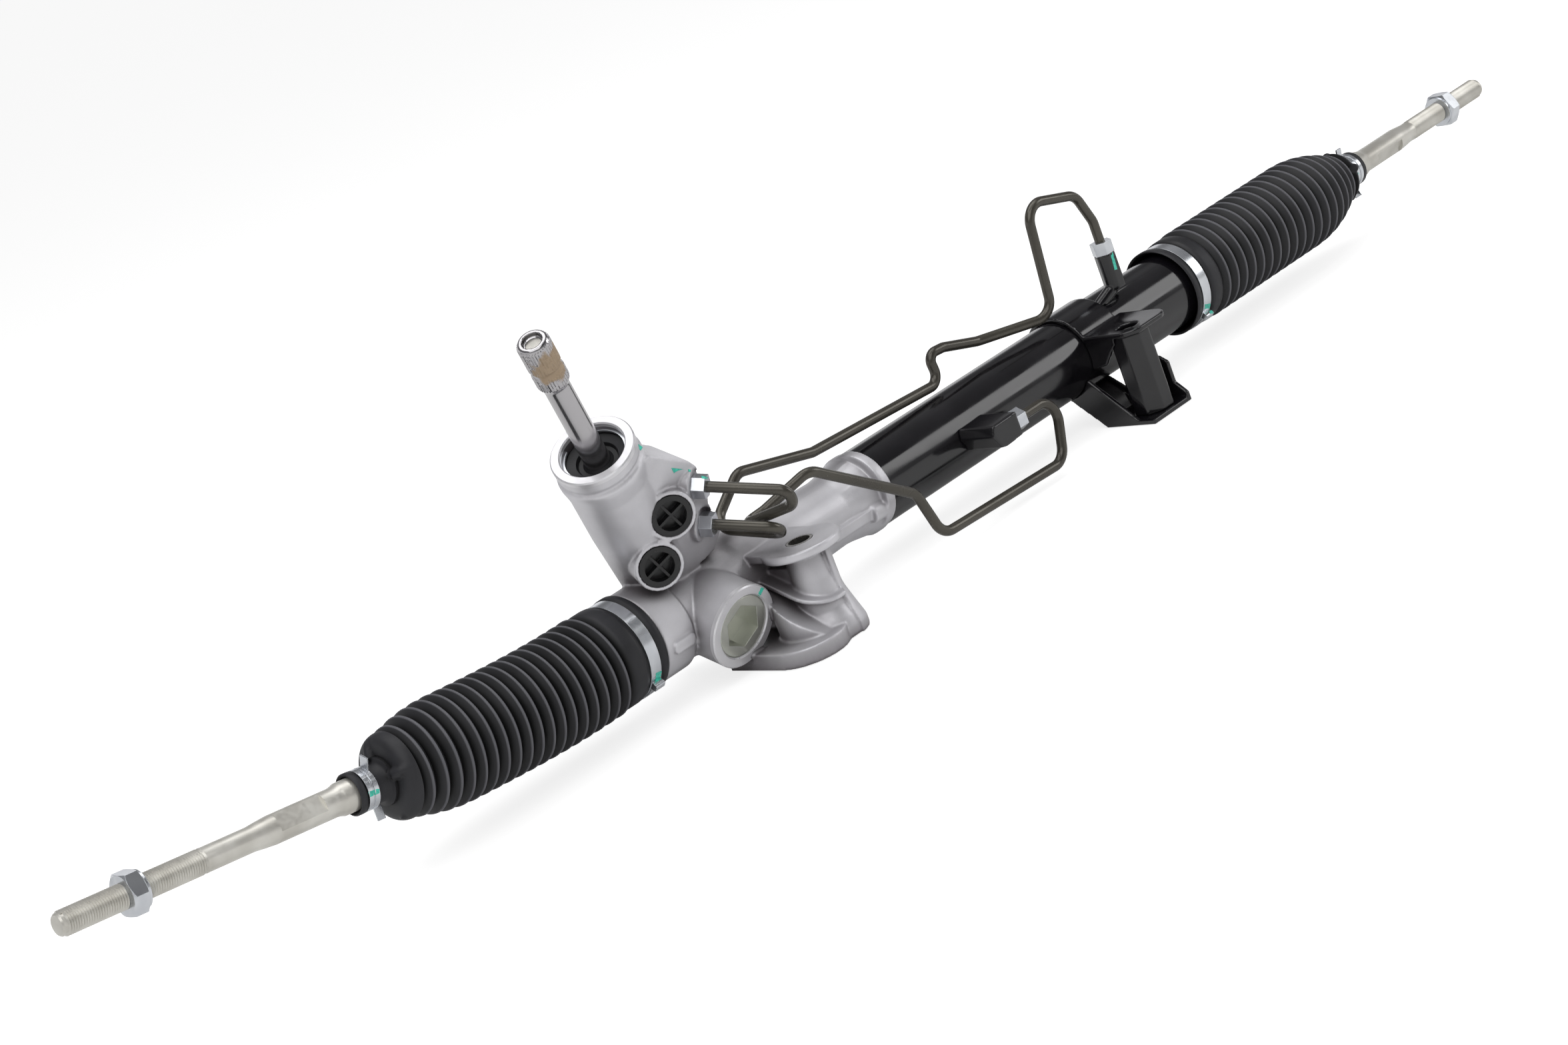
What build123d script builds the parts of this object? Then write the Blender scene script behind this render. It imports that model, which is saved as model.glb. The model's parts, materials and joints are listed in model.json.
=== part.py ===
from build123d import *
import math
import os

# ---------------------------------------------------------------- driving dimensions (mm)
# Everything is built about the rack's own axis (X), with x = 0 at the joint between the
# casting and the cylinder tube, then moved so that the origin is the seat of the casting's
# mounting hole.  Z is the direction of the mounting bolts, Y points to the pinion's side.

BOSS_X = -98.0            # mounting hole of the casting, from the tube joint
BOLT_Y = -50.0            # both mounting bolts, from the rack axis
SEAT_Z = -46.0            # both mounting seats, from the rack axis
BOSS_TOP = 60.0           # height of the mounting columns above the seats
BOLT_HOLE_R = 6.5         # clearance hole for an M12 bolt
BRACKET_X = 209.0         # mounting hole of the steel bracket

RACK_R = 13.0
TRAVEL = 72.0             # rack travel each way

MODULE = 2.0
PINION_TEETH = 7
PROFILE_SHIFT = 0.9       # how far the rack's pitch line lies outside the pinion's pitch circle
RACK_ADDENDUM = 1.6
RACK_DEDENDUM = 2.2
PINION_ADDENDUM = 2.6
PINION_DEDENDUM = 1.5
PRESSURE_ANGLE = 20.0
TOOTH_BACKLASH = 0.16
GEAR_CENTRES = 15.0       # pinion axis to rack axis
MESH_X = -147.7           # where the two axes cross
AXIS_TILT = 22.25         # pinion axis leans towards the yoke, about X
AXIS_SKEW = 22.0          # pinion axis leans along the rack

RUN = 0.05                # radial clearance of a running fit
GAP = 0.3                 # clearance between pieces that only pass each other

TUBE_R = 25.0
TUBE_WALL = 3.0
TUBE_END = 318.0
PISTON_X = 167.0
PISTON_WIDTH = 12.0
PISTON_NECK = 4.0         # half width of the rack bar's neck under the piston
PISTON_SEAT_R = 11.8
INNER_SEAL_X = 78.0
BULKHEAD_X = 262.0
BULKHEAD_LENGTH = 26.0

BARREL_R = 26.5           # casting around the rack, at the pinion
NECK_R = 21.5             # casting around the rack, towards the tube
FLANGE_R = 25.8
FLANGE_THICK = 7.0
FLANGE_LOBE = 5.8         # the joint flange bulges out to the side of the mounting bolts
SPIGOT_LENGTH = 10.0      # spigot of the casting inside the tube
LUG_ANGLE = 200.0         # cast lug of the joint flange, about the rack axis
LUG_RADIUS = 22.5
LUG_R = 6.0
GUSSET_ANGLES = (105.0, 150.0)    # gussets between the joint flange and the neck
GUSSET_THICK = 4.0
RIB_ANGLE = 198.0         # cast rib along the neck, from the deck to the lug
RIB_WIDTH = 7.0
RIB_TOP = 24.6            # outside of that rib, from the rack axis
FOOT_R = 20.0
COLUMN_NECK_R = 11.5      # column round the sleeve of the mounting hole
FLANK_R = 14.8            # outer wall on the side of the column that faces the tube
FLANK_X = 4.0             # where that wall starts, from the mounting hole
LEDGE_TILT = 24.0         # the ledge rises towards the rack
LEDGE_HEIGHT = 32.0
SKIRT_SLOPE = (-0.2, 0.75)    # rise of the skirt's rim along the rack and towards it
SKIRT_HEIGHT = 19.0       # rim of the skirt at the mounting hole
LEDGE_THICK = 3.0
DECK_R = 24.0
DECK_THICK = 5.5
HOUSING_LEFT = -214.0
SOCKET_POCKET = 26.0      # depth of the pocket that the left socket runs into

TOWER_R = 24.0
TOWER_TOP = 130.0         # mouth of the valve housing, along the pinion axis
TOWER_BOTTOM = -34.0
MOUTH_R = 24.7
MOUTH_BORE = 19.0
VALVE_BORE = 17.0
VALVE_FLOOR = 32.0
PINION_BORE = 14.0

SHAFT_TOP = 220.0
SHAFT_R = 7.5
SPLINE_R = 9.6
SPLINE_LENGTH = 33.0
SPLINE_COUNT = 36
TORSION_R = 3.0
PIN_R = 1.2
SLEEVE_R = 16.0
SLEEVE_BORE = 11.5
SLEEVE_LENGTH = 46.0
SLEEVE_BASE = 46.0

YOKE_FACE = 41.0          # face of the yoke boss, from the rack axis
YOKE_BOSS_R = 25.0
YOKE_BORE = 19.0
YOKE_PLUG_LENGTH = 13.0
HEX_KEY = 24.0            # across flats of the key socket in the yoke plug

LEFT_BALL = -297.0        # ball centres of the inner joints, along the rack
RIGHT_BALL = 390.0
SOCKET_DEPTH = 18.4       # ball centre to the end of the rack bar
SOCKET_STUD_R = 6.5
SOCKET_STUD_LENGTH = 18.0
BALL_R = 11.0
SEAT_R = 14.0
SOCKET_R = 17.5
SOCKET_AF = 31.0
TIE_ROD_TILT = 8.2        # left tie rod is tilted up from the rack by this much
TIE_ROD_LENGTH = 288.0    # ball centre to tip
THREAD_LENGTH = 86.0
THREAD_R = 7.0
THREAD_PITCH_R = 6.5      # where the threads of rod and jam nut meet
SHANK_R = 6.8
FLATS_R = 8.0             # round of the bar at the wrench flats
FLATS_OFFSET = 20.0       # wrench flats, from the small end of the boot
FLATS_LENGTH = 30.0
FLATS_AF = 12.0
FLATS_TURN = 35.0         # flats, turned about the rod
SHOULDER_R = 9.2
SHOULDER_LENGTH = 24.0
JAM_NUT_AF = 22.0
JAM_NUT_THICK = 11.0
JAM_NUT_FACE = 1.6        # round washer face of the jam nut, towards the boot
FREE_THREAD = 38.5        # thread outside the jam nut, for the outer joint

BOOT_WALL = 1.6
BOOT_CREST = 31.0
BOOT_ROOT = 26.0
BOOT_LIP = 29.5
BOOT_BAND_SEAT = 28.5
BOOT_CUFF_R = 30.0
BOOT_NECK_R = 11.0
BOOT_BEND_START = 38.0     # where the left boot starts to rise towards its tie rod
BOOT_END_SLOPE = 0.1
CLAMP_EAR_TURN = -47.0    # crimped ear of each band, from straight below towards the yoke
PLEATS = 17
LEFT_BOOT_END = 106.0     # small end of each boot, from its ball centre
RIGHT_BOOT_END = 132.0
BOOT_NECK = 16.0
LEFT_SMALL_PLEATS = 4      # pleats that shrink towards the small end
RIGHT_SMALL_PLEATS = 5
LEFT_LAST_CREST = 26.0
RIGHT_LAST_CREST = 19.0
LEFT_CAP = 32.0            # from the last pleat to the small end
RIGHT_CAP = 21.0
CLAMP_WIDTH = 8.0
CLAMP_THICK = 0.8
NECK_CLAMP_WIDTH = 7.0
NECK_CLAMP_TURN = 100.0   # edge-on tab of the neck clamps, turned about the tie rod

PIPE_R = 3.2
PIPE_BORE = 2.3
PIPE_BEND = 12.0
PIPE_INSERT = 5.5         # how far a pipe reaches into its port
PORT_THREAD_R = 5.0
PORT_DEPTH = 8.0          # tapped depth of a pipe port
FLARE_NUT_AF = 12.5
FLARE_NUT_LENGTH = 8.0
PORT_LEAN = 26.5          # pipe ports, turned from the yoke's side about the pinion axis
PORT_DROP = 8.0           # pipe ports, tipped below square to the pinion axis
PLUG_R = 12.0
PLUG_DEPTH = 6.5
LEFT_PORT_X = 83.0        # left port of the tube: a forged block that points to the yoke's side
LEFT_PORT_Y = -54.0
LEFT_SEAT_X = 91.5
RIGHT_PORT_X = 235.5      # right port of the tube: a leaning neck with an upright barrel
RIGHT_PORT_ANGLE = 119.0
RIGHT_NECK = (12.0, -3.0, 6.0)
RIGHT_NECK_R = 4.2
RIGHT_BARREL = 21.5
RIGHT_BARREL_AF = 12.4
LEFT_PIPE_REACH = 54.0    # straight run out of the upper pipe port
RIGHT_PIPE_REACH = 46.0   # straight run out of the lower pipe port

# bends of the two transfer pipes
LEFT_PIPE_RUN = [(-116, -80, 44), (-118, -34, 34), (-104, -38, 36), (-73, -50, 46), (-3, -50, -2),
                 (6, -50, -33), (120, -49, -38)]
RIGHT_PIPE_RUN = [(-108, -50, 23), (-119, -8, 33), (-86, -5, 53), (-27, -4, 38.5), (94, 3, 30), (92, 3, 49),
                  (106, 3, 48), (136, 4, 39), (189, -13, 32), (196, -15, 104)]

SHEET = 3.0               # steel bracket
SADDLE_X0 = 195.0
SADDLE_X1 = 228.5
PLATE_X1 = 236.5
COLUMN_R = 12.5
WALL_LEFT = 189.0
WALL_RIGHT = 227.0
SLEEVE_OUTER_R = 8.0      # steel sleeve in the casting's mounting hole
YOKE_HEIGHT = 18.0        # yoke, from 6 mm beyond the rack axis
SPRING_SEAT = 18.0        # floor of the spring's pocket, from the rack axis
BOOT_START = 17.0         # how far each boot reaches over its seat
CASTING_SEAT_R = 26.0     # boot seat of the casting
CUFF_R = 28.5             # raised cuff of the casting behind the boot
CUFF_END = -174.0
CUFF_LUG_ANGLE = 195.0    # slotted lug on the cuff, about the rack axis
CUFF_LUG_LENGTH = 17.0
CUFF_LUG_WIDTH = 7.5

# ---------------------------------------------------------------- worked-out sizes
TILT = math.radians(AXIS_TILT)
SKEW = math.radians(AXIS_SKEW)
TO_YOKE = Vector(0, -math.cos(TILT), -math.sin(TILT))
PINION_AXIS = Vector(-math.sin(SKEW), -math.cos(SKEW) * math.sin(TILT), math.cos(SKEW) * math.cos(TILT))
ACROSS = PINION_AXIS.cross(TO_YOKE)
PINION_ORIGIN = Vector(MESH_X, 0, 0) - TO_YOKE * GEAR_CENTRES
PINION = Plane(origin=PINION_ORIGIN, x_dir=ACROSS * -1, z_dir=PINION_AXIS)
PITCH_R = MODULE * PINION_TEETH / 2
TOOTH_PITCH = math.pi * MODULE
RACK_PITCH_LINE = PITCH_R + PROFILE_SHIFT
RACK_TEETH = math.ceil(2 * TRAVEL * math.cos(SKEW) / TOOTH_PITCH) + 3
TUBE_BORE = TUBE_R - TUBE_WALL
RETAINER_X = BULKHEAD_X + BULKHEAD_LENGTH + 1
PORT_ANGLE = math.radians(PORT_LEAN)
PORT_TIP = math.radians(PORT_DROP)
PIPE_OUT = ((TO_YOKE * math.cos(PORT_ANGLE) + ACROSS * math.sin(PORT_ANGLE)) * math.cos(PORT_TIP)
            - PINION_AXIS * math.sin(PORT_TIP))
PLUG_OUT = Vector(-0.45, -0.876, -0.17).normalized()
RIGHT_ROD = Vector(1, 0, 0)
LEFT_ROD = Vector(-math.cos(math.radians(TIE_ROD_TILT)), 0, math.sin(math.radians(TIE_ROD_TILT)))


# ---------------------------------------------------------------- helpers
def rod(radius, start, end):
    """Round bar between two points."""
    axis = Vector(*end) - Vector(*start)
    return extrude(Plane(origin=start, z_dir=axis) * Circle(radius), axis.length)


def pipe_wall(outer, inner, start, end):
    """Round tube between two points."""
    return rod(outer, start, end) - rod(inner, start, end)


def on_x(radius, x0, x1):
    """Round bar on the rack axis."""
    return rod(radius, (x0, 0, 0), (x1, 0, 0))


def turned(profile, place=None):
    """Solid of revolution: profile holds (radius, height) pairs, turned about the place's Z."""
    face = make_face(Plane.XZ * Polyline(*profile, close=True))
    solid = revolve(face, Axis.Z)
    return (place * solid) if place else solid


def turned_on_x(profile):
    """Solid of revolution about the rack axis: profile holds (x, radius) pairs."""
    return revolve(make_face(Polyline(*profile, close=True)), Axis.X)


def hexagon(across_flats, start, end):
    """Hexagon bar between two points."""
    axis = Vector(*end) - Vector(*start)
    sketch = Plane(origin=start, z_dir=axis) * RegularPolygon(across_flats / 2, 6, major_radius=False)
    return extrude(sketch, axis.length)


def at_pinion(across, to_yoke, along):
    """Point given by its distances from the pinion axis and along it."""
    return PINION_ORIGIN + ACROSS * across + TO_YOKE * to_yoke + PINION_AXIS * along


def save(name, shape):
    """Write one piece, moved so that the origin is the seat of the casting's mounting hole."""
    placed = Pos(-BOSS_X, -BOLT_Y, -SEAT_Z) * shape
    placed.label = name
    export_step(placed, f"parts/{name}.step")


def yoke_point(distance):
    """Point on the yoke's axis, by its distance from the rack axis."""
    return Vector(MESH_X, 0, 0) + TO_YOKE * distance


# ---------------------------------------------------------------- rack and pinion
def rack_tooth_spaces():
    """Cutter for the tooth spaces: trapezoids that run parallel to the pinion axis."""
    tan_pressure = math.tan(math.radians(PRESSURE_ANGLE))
    half_pitch_line = TOOTH_PITCH / 4
    tip = RACK_PITCH_LINE - RACK_ADDENDUM
    root = RACK_PITCH_LINE + RACK_DEDENDUM
    half_tip = half_pitch_line + RACK_ADDENDUM * tan_pressure
    half_root = half_pitch_line - RACK_DEDENDUM * tan_pressure
    cutters = []
    length = 3 * RACK_R
    for index in range(RACK_TEETH + 1):
        offset = (index - RACK_TEETH / 2) * TOOTH_PITCH
        profile = Polyline(
            (offset - half_tip, tip), (offset - half_root, root),
            (offset + half_root, root), (offset + half_tip, tip), close=True)
        cutter = extrude(make_face(profile), length)
        cutters.append(PINION * Pos(0, 0, offset * math.tan(SKEW) - length / 2) * cutter)
    return cutters


def rack_flat():
    """Everything of the bar that stands above the tooth tips, along the toothed length."""
    tip_height = GEAR_CENTRES - RACK_PITCH_LINE + RACK_ADDENDUM
    length = (RACK_TEETH + 1) * TOOTH_PITCH / math.cos(SKEW)
    block = Box(length, 3 * RACK_R, RACK_R, align=(Align.CENTER, Align.CENTER, Align.MIN))
    return Plane(origin=Vector(MESH_X, 0, 0) - TO_YOKE * tip_height,
                 x_dir=(1, 0, 0), z_dir=TO_YOKE * -1) * block


def rack_bar():
    """Toothed bar with the piston's neck and the sockets' tapped ends."""
    left = LEFT_BALL + SOCKET_DEPTH
    right = RIGHT_BALL - SOCKET_DEPTH
    bar = on_x(RACK_R, left, right) - rack_flat()
    for cutter in rack_tooth_spaces():
        bar -= cutter
    neck_start = (PISTON_X - PISTON_NECK, 0, 0)
    neck_end = (PISTON_X + PISTON_NECK, 0, 0)
    bar -= pipe_wall(RACK_R + 1, PISTON_SEAT_R, neck_start, neck_end)
    bar -= on_x(SOCKET_STUD_R, left, left + SOCKET_STUD_LENGTH)
    bar -= on_x(SOCKET_STUD_R, right, right - SOCKET_STUD_LENGTH)
    return bar


def piston():
    """Disc that is swaged into the neck of the rack bar and carries the piston ring."""
    half = PISTON_WIDTH / 2
    outer = TUBE_BORE - 0.4
    return turned_on_x([
        (PISTON_X - PISTON_NECK, PISTON_SEAT_R), (PISTON_X + PISTON_NECK, PISTON_SEAT_R),
        (PISTON_X + PISTON_NECK, RACK_R), (PISTON_X + half, RACK_R), (PISTON_X + half, outer),
        (PISTON_X + 2, outer), (PISTON_X + 2, outer - 2), (PISTON_X - 2, outer - 2), (PISTON_X - 2, outer),
        (PISTON_X - half, outer), (PISTON_X - half, RACK_R), (PISTON_X - PISTON_NECK, RACK_R)])


def piston_ring():
    """Sealing ring in the piston's groove."""
    outer = TUBE_BORE - 0.4
    return pipe_wall(TUBE_BORE - RUN, outer - 2, (PISTON_X - 2, 0, 0), (PISTON_X + 2, 0, 0))


def involute(base, roll):
    """Point of the involute of a base circle after unrolling by an angle."""
    return (base * (math.cos(roll) + roll * math.sin(roll)),
            base * (math.sin(roll) - roll * math.cos(roll)))


def pinion_tooth(height):
    """One pinion tooth, centred on the +Y ray, with involute flanks."""
    pressure = math.radians(PRESSURE_ANGLE)
    base = PITCH_R * math.cos(pressure)
    tip = PITCH_R + PINION_ADDENDUM
    inv_pitch = math.tan(pressure) - pressure
    thickness = math.pi * MODULE / 2 + 2 * PROFILE_SHIFT * math.tan(pressure) - TOOTH_BACKLASH
    half_angle = thickness / PITCH_R / 2 + inv_pitch
    root = PITCH_R - PINION_DEDENDUM
    tip_roll = math.sqrt((tip / base) ** 2 - 1)
    right = []
    for step in range(7):
        x, y = involute(base, tip_roll * step / 6)
        angle = math.pi / 2 - half_angle + math.atan2(y, x)
        radius = math.hypot(x, y)
        right.append((radius * math.cos(angle), radius * math.sin(angle)))
    left = [(-x, y) for x, y in reversed(right)]
    foot = math.pi / 2 - half_angle
    foot_right = (0.8 * root * math.cos(foot), 0.8 * root * math.sin(foot))
    foot_left = (-foot_right[0], foot_right[1])
    outline = Spline(*right) + Line(right[-1], left[0]) + Spline(*left)
    outline += Line(left[-1], foot_left) + Line(foot_left, foot_right) + Line(foot_right, right[0])
    return extrude(make_face(outline), height)


def pinion_gear():
    """Pinion with its journals, and the head that the torsion bar is pinned to."""
    face_width = 38.0
    body = Cylinder(PITCH_R - PINION_DEDENDUM, face_width, align=(Align.CENTER, Align.CENTER, Align.MIN))
    tooth = pinion_tooth(face_width)
    # a tooth space of the pinion faces the rack when the rack is central
    for index in range(PINION_TEETH):
        angle = (index + 0.5) * 360 / PINION_TEETH
        body += Rot(0, 0, angle) * tooth
    body = Pos(0, 0, -face_width / 2) * body
    lower = turned([(0, -31), (5, -31), (5, -18), (0, -18)])
    upper = turned([(0, 18.8), (8.5, 18.8), (8.5, VALVE_FLOOR + 8), (12, VALVE_FLOOR + 8),
                    (12, VALVE_FLOOR + 13), (0, VALVE_FLOOR + 13)])
    gear = body + lower + upper
    socket = turned([(0, 24), (TORSION_R, 24), (TORSION_R, VALVE_FLOOR + 14), (0, VALVE_FLOOR + 14)])
    return PINION * (gear - socket - torsion_pin_hole())


# ---------------------------------------------------------------- valve
def torsion_bar():
    """Slim bar that is pinned to the pinion below and carries the input shaft's top end."""
    waist = TORSION_R - 0.8
    head = TORSION_R + 1.5
    bar = turned([(0, 24), (TORSION_R, 24), (TORSION_R, VALVE_FLOOR + 15), (waist, VALVE_FLOOR + 18),
                  (waist, SHAFT_TOP - 20), (head, SHAFT_TOP - 14), (head, SHAFT_TOP - 3), (0, SHAFT_TOP - 3)])
    return PINION * (bar - torsion_pin_hole())


def torsion_pin_hole():
    """Cross hole through the pinion's head and the torsion bar."""
    level = VALVE_FLOOR + 10.5
    return rod(PIN_R, (-13, 0, level), (13, 0, level))


def input_shaft():
    """Hollow input shaft with its splined end and the groove for the clamp bolt."""
    foot = VALVE_FLOOR + 13 + GAP
    valve_top = SLEEVE_BASE + SLEEVE_LENGTH + 2
    bore = TORSION_R + 0.5
    mouth = TORSION_R + 1.5 + RUN
    spline_start = SHAFT_TOP - SPLINE_LENGTH
    shaft = turned([(bore, foot), (9, foot), (9, SLEEVE_BASE + 1), (SLEEVE_BORE - RUN, SLEEVE_BASE + 1),
                    (SLEEVE_BORE - RUN, valve_top), (SHAFT_R + 1, valve_top), (SHAFT_R + 1, valve_top + 4),
                    (SHAFT_R, valve_top + 5), (SHAFT_R, spline_start - 2), (SPLINE_R - 0.8, spline_start),
                    (SPLINE_R - 0.8, SHAFT_TOP - 1.2), (SPLINE_R - 2, SHAFT_TOP),
                    (mouth + 1.2, SHAFT_TOP), (mouth + 1.2, SHAFT_TOP - 3), (mouth, SHAFT_TOP - 3),
                    (mouth, SHAFT_TOP - 14), (bore, SHAFT_TOP - 20)])
    pitch = 360 / SPLINE_COUNT
    tooth = Pos(SPLINE_R - 0.9, 0, spline_start + 1) * Box(
        1.8, 0.8, SPLINE_LENGTH - 3, align=(Align.CENTER, Align.CENTER, Align.MIN))
    relief = Pos(0, 0, spline_start + 12) * Torus(SPLINE_R + 1.2, 2.4)
    for index in range(SPLINE_COUNT):
        shaft += Rot(0, 0, index * pitch) * tooth
    return PINION * (shaft - relief)


def valve_sleeve():
    """Sleeve of the rotary valve, with four seal grooves."""
    top = SLEEVE_BASE + SLEEVE_LENGTH
    points = [(SLEEVE_BORE, SLEEVE_BASE), (SLEEVE_R, SLEEVE_BASE)]
    for index in range(4):
        base = SLEEVE_BASE + 6 + index * 10.5
        points += [(SLEEVE_R, base), (SLEEVE_R - 1.2, base), (SLEEVE_R - 1.2, base + 2), (SLEEVE_R, base + 2)]
    points += [(SLEEVE_R, top), (SLEEVE_BORE, top)]
    return PINION * turned(points)


def sleeve_seal(index):
    """One of the four rings in the valve sleeve's grooves."""
    base = SLEEVE_BASE + 6 + index * 10.5
    return PINION * turned([(SLEEVE_R - 1.2, base + 0.1), (VALVE_BORE - RUN, base + 0.1),
                            (VALVE_BORE - RUN, base + 1.9), (SLEEVE_R - 1.2, base + 1.9)])


def upper_bearing():
    """Bush of the input shaft, above the valve."""
    inner = SHAFT_R + 1 + RUN
    return PINION * turned([(inner, 96), (VALVE_BORE, 96), (VALVE_BORE, 106), (inner, 106)])


def middle_bearing():
    """Bush of the pinion, between its teeth and the valve."""
    low = VALVE_FLOOR - 10
    high = VALVE_FLOOR - 1
    inner = 8.5 + RUN
    return PINION * turned([(inner, low), (PINION_BORE, low), (PINION_BORE, high), (inner, high)])


def lower_bearing():
    """Bush of the pinion's lower journal."""
    return PINION * turned([(5 + RUN, -29), (12, -29), (12, -21), (5 + RUN, -21)])


def bottom_cap():
    """Cap that closes the bore below the pinion."""
    return PINION * turned([(0, -41), (11, -41), (14.6, -38), (14.6, TOWER_BOTTOM), (12, TOWER_BOTTOM),
                            (12, -32), (0, -32)])


def pinion_nut():
    """Nut that holds the pinion in the lower bearing."""
    nut = hexagon(17, (0, 0, -31.5), (0, 0, -29.5)) - Cylinder(5, 80)
    return PINION * nut


def torsion_pin():
    """Cross pin that ties the torsion bar to the pinion's head."""
    level = VALVE_FLOOR + 10.5
    return PINION * rod(PIN_R, (-11.8, 0, level), (11.8, 0, level))


def top_seal():
    """Dust seal in the mouth of the valve housing, with a raised lip round the shaft."""
    inner = SHAFT_R + RUN
    return PINION * turned([(inner, 114), (MOUTH_BORE, 114), (MOUTH_BORE, 122), (MOUTH_BORE - 1.5, 123),
                            (12.5, 121.5), (11.5, 119.5), (9, 119.5), (inner, 121)])


def snap_ring():
    """Split ring that holds the dust seal."""
    inner = MOUTH_BORE - 1.6
    ring = turned([(inner, 124.2), (MOUTH_BORE, 124.2), (MOUTH_BORE, 125.8), (inner, 125.8)])
    opening = Pos(0, -MOUTH_BORE, 125) * Box(10, 8, 4)
    return PINION * (ring - opening)


# ---------------------------------------------------------------- casting
def valve_tower():
    """Round housing of the pinion and the valve, with the grooved mouth."""
    flare = 10.0
    return PINION * turned([
        (0, TOWER_BOTTOM), (19, TOWER_BOTTOM), (19, -22), (TOWER_R - 3, -10), (TOWER_R, 70), (TOWER_R, 105),
        (MOUTH_R + 0.8, 105 + flare), (MOUTH_R + 0.8, 118), (MOUTH_R - 1, 119.5), (MOUTH_R - 1, 121),
        (MOUTH_R, 122), (MOUTH_R, TOWER_TOP - 1), (MOUTH_R - 1, TOWER_TOP), (0, TOWER_TOP)])


def tower_bore():
    """Stepped bore of the pinion and the valve."""
    tooth_bore = PITCH_R + PINION_ADDENDUM + 1.4
    cut = turned([(0, TOWER_BOTTOM - 1), (12, TOWER_BOTTOM - 1), (12, -20.9), (tooth_bore, -20.9),
                  (tooth_bore, VALVE_FLOOR - 11), (PINION_BORE, VALVE_FLOOR - 11),
                  (PINION_BORE, VALVE_FLOOR), (VALVE_BORE, VALVE_FLOOR), (VALVE_BORE, 112),
                  (MOUTH_BORE, 114), (MOUTH_BORE, TOWER_TOP + 1), (0, TOWER_TOP + 1)])
    return PINION * Rot(0, 0, 90) * cut


def pipe_port_block():
    """Flank of the casting that carries the two pipe ports."""
    outline = Polyline((0, 116), (17, 116), (38, 88), (41, 80), (41, 62), (37, 52), (37, 30), (26, 22),
                       (0, 26), close=True)
    side = Plane(origin=PINION_ORIGIN - TO_YOKE * 8, x_dir=ACROSS, z_dir=TO_YOKE * -1)
    # the sketch's second axis is the pinion axis
    face = make_face(Plane(origin=side.origin, x_dir=ACROSS, z_dir=ACROSS.cross(PINION_AXIS)) * outline)
    block = extrude(face, 30, dir=TO_YOKE)
    return fillet(block.edges().filter_by(lambda e: abs(e.tangent_at(0.5).dot(TO_YOKE)) > 0.99)
                  .filter_by(lambda e: (e.center() - PINION_ORIGIN).dot(ACROSS) > 5), 3)


def pipe_port_points():
    """Faces of the upper and the lower pipe port, on the casting."""
    return [at_pinion(32.4, 23.4, 73), at_pinion(26.4, 21.8, 45.4)]


def plug_points():
    """Faces of the upper and the lower supply port."""
    return [at_pinion(8.5, 28, 76), at_pinion(-13, 27, 55)]


def boss_ledge():
    """Thin sloping ledge round the column, on the side that faces away from the tube."""
    radius = FOOT_R - 0.5
    ledge = Cylinder(radius, LEDGE_THICK) + Pos(0, radius, 0) * Box(2 * radius, 2 * radius, LEDGE_THICK)
    ledge = fillet(ledge.edges().filter_by(GeomType.CIRCLE), 0.8)
    open_side = Pos(FLANK_X + 1, 0, 0) * Box(100, 200, 100, align=(Align.MAX, Align.CENTER, Align.CENTER))
    return Pos(0, 0, LEDGE_HEIGHT) * (Rot(LEDGE_TILT, 0, 0) * ledge & open_side)


def boss_flank():
    """Outer wall of the column, on the side that faces the tube."""
    wall = turned([(0, 0), (FOOT_R + 1.4, 0), (FOOT_R + 1.4, 6), (FLANK_R + 3, 18), (FLANK_R + 1.2, 24),
                   (FLANK_R, 30), (FLANK_R, BOSS_TOP - DECK_THICK), (0, BOSS_TOP - DECK_THICK)])
    return wall & Pos(FLANK_X, 0, 0) * Box(60, 60, 80, align=(Align.MIN, Align.CENTER, Align.MIN))


def boss_skirt():
    """Round wall between the foot pad and the column, cut off along a slope."""
    wall = Pos(-8, 2, 0) * Cylinder(FOOT_R + 2, 44, align=(Align.CENTER, Align.CENTER, Align.MIN))
    rim = Plane(origin=(0, 0, SKIRT_HEIGHT), z_dir=(-SKIRT_SLOPE[0], -SKIRT_SLOPE[1], 1))
    return wall & rim * Box(200, 200, 120, align=(Align.CENTER, Align.CENTER, Align.MAX))


def mounting_boss():
    """Column of the mounting hole: deck, column, ledge, skirt and a wide foot pad."""
    neck = COLUMN_NECK_R
    under_deck = BOSS_TOP - DECK_THICK
    pad_x = -20.5
    low = (Align.CENTER, Align.CENTER, Align.MIN)
    boss = turned([
        (0, 0), (FOOT_R, 0), (FOOT_R, 6), (neck + 7, 12), (neck + 3.5, 19), (neck + 2.5, 30), (neck + 1, 37),
        (neck, under_deck - 3), (neck + 3, under_deck), (DECK_R - 1, under_deck), (DECK_R, under_deck + 1),
        (DECK_R, BOSS_TOP - 0.8), (DECK_R - 0.8, BOSS_TOP), (0, BOSS_TOP)])
    boss += boss_ledge() + boss_flank() + boss_skirt()
    boss += Pos(pad_x, 0, 0) * Cylinder(DECK_R + 0.5, 10, align=low)
    boss += Pos(pad_x, 22, 0) * Box(2 * DECK_R + 1, 44, 10, align=low)
    boss += Pos(0, -BOLT_Y / 2, 9) * Box(2 * neck - 3, -BOLT_Y, 38, align=low)
    boss += Pos(0, -BOLT_Y / 2, under_deck) * Box(2 * DECK_R - 8, -BOLT_Y, DECK_THICK, align=low)
    return Pos(BOSS_X, BOLT_Y, SEAT_Z) * boss


def on_rack_side(profile, thick, angle):
    """Plate in a plane through the rack axis: profile holds (x, radius) pairs, angle is about that axis."""
    plate = extrude(make_face(Polyline(*profile, close=True)), thick / 2, both=True)
    return Rot(angle, 0, 0) * plate


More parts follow.
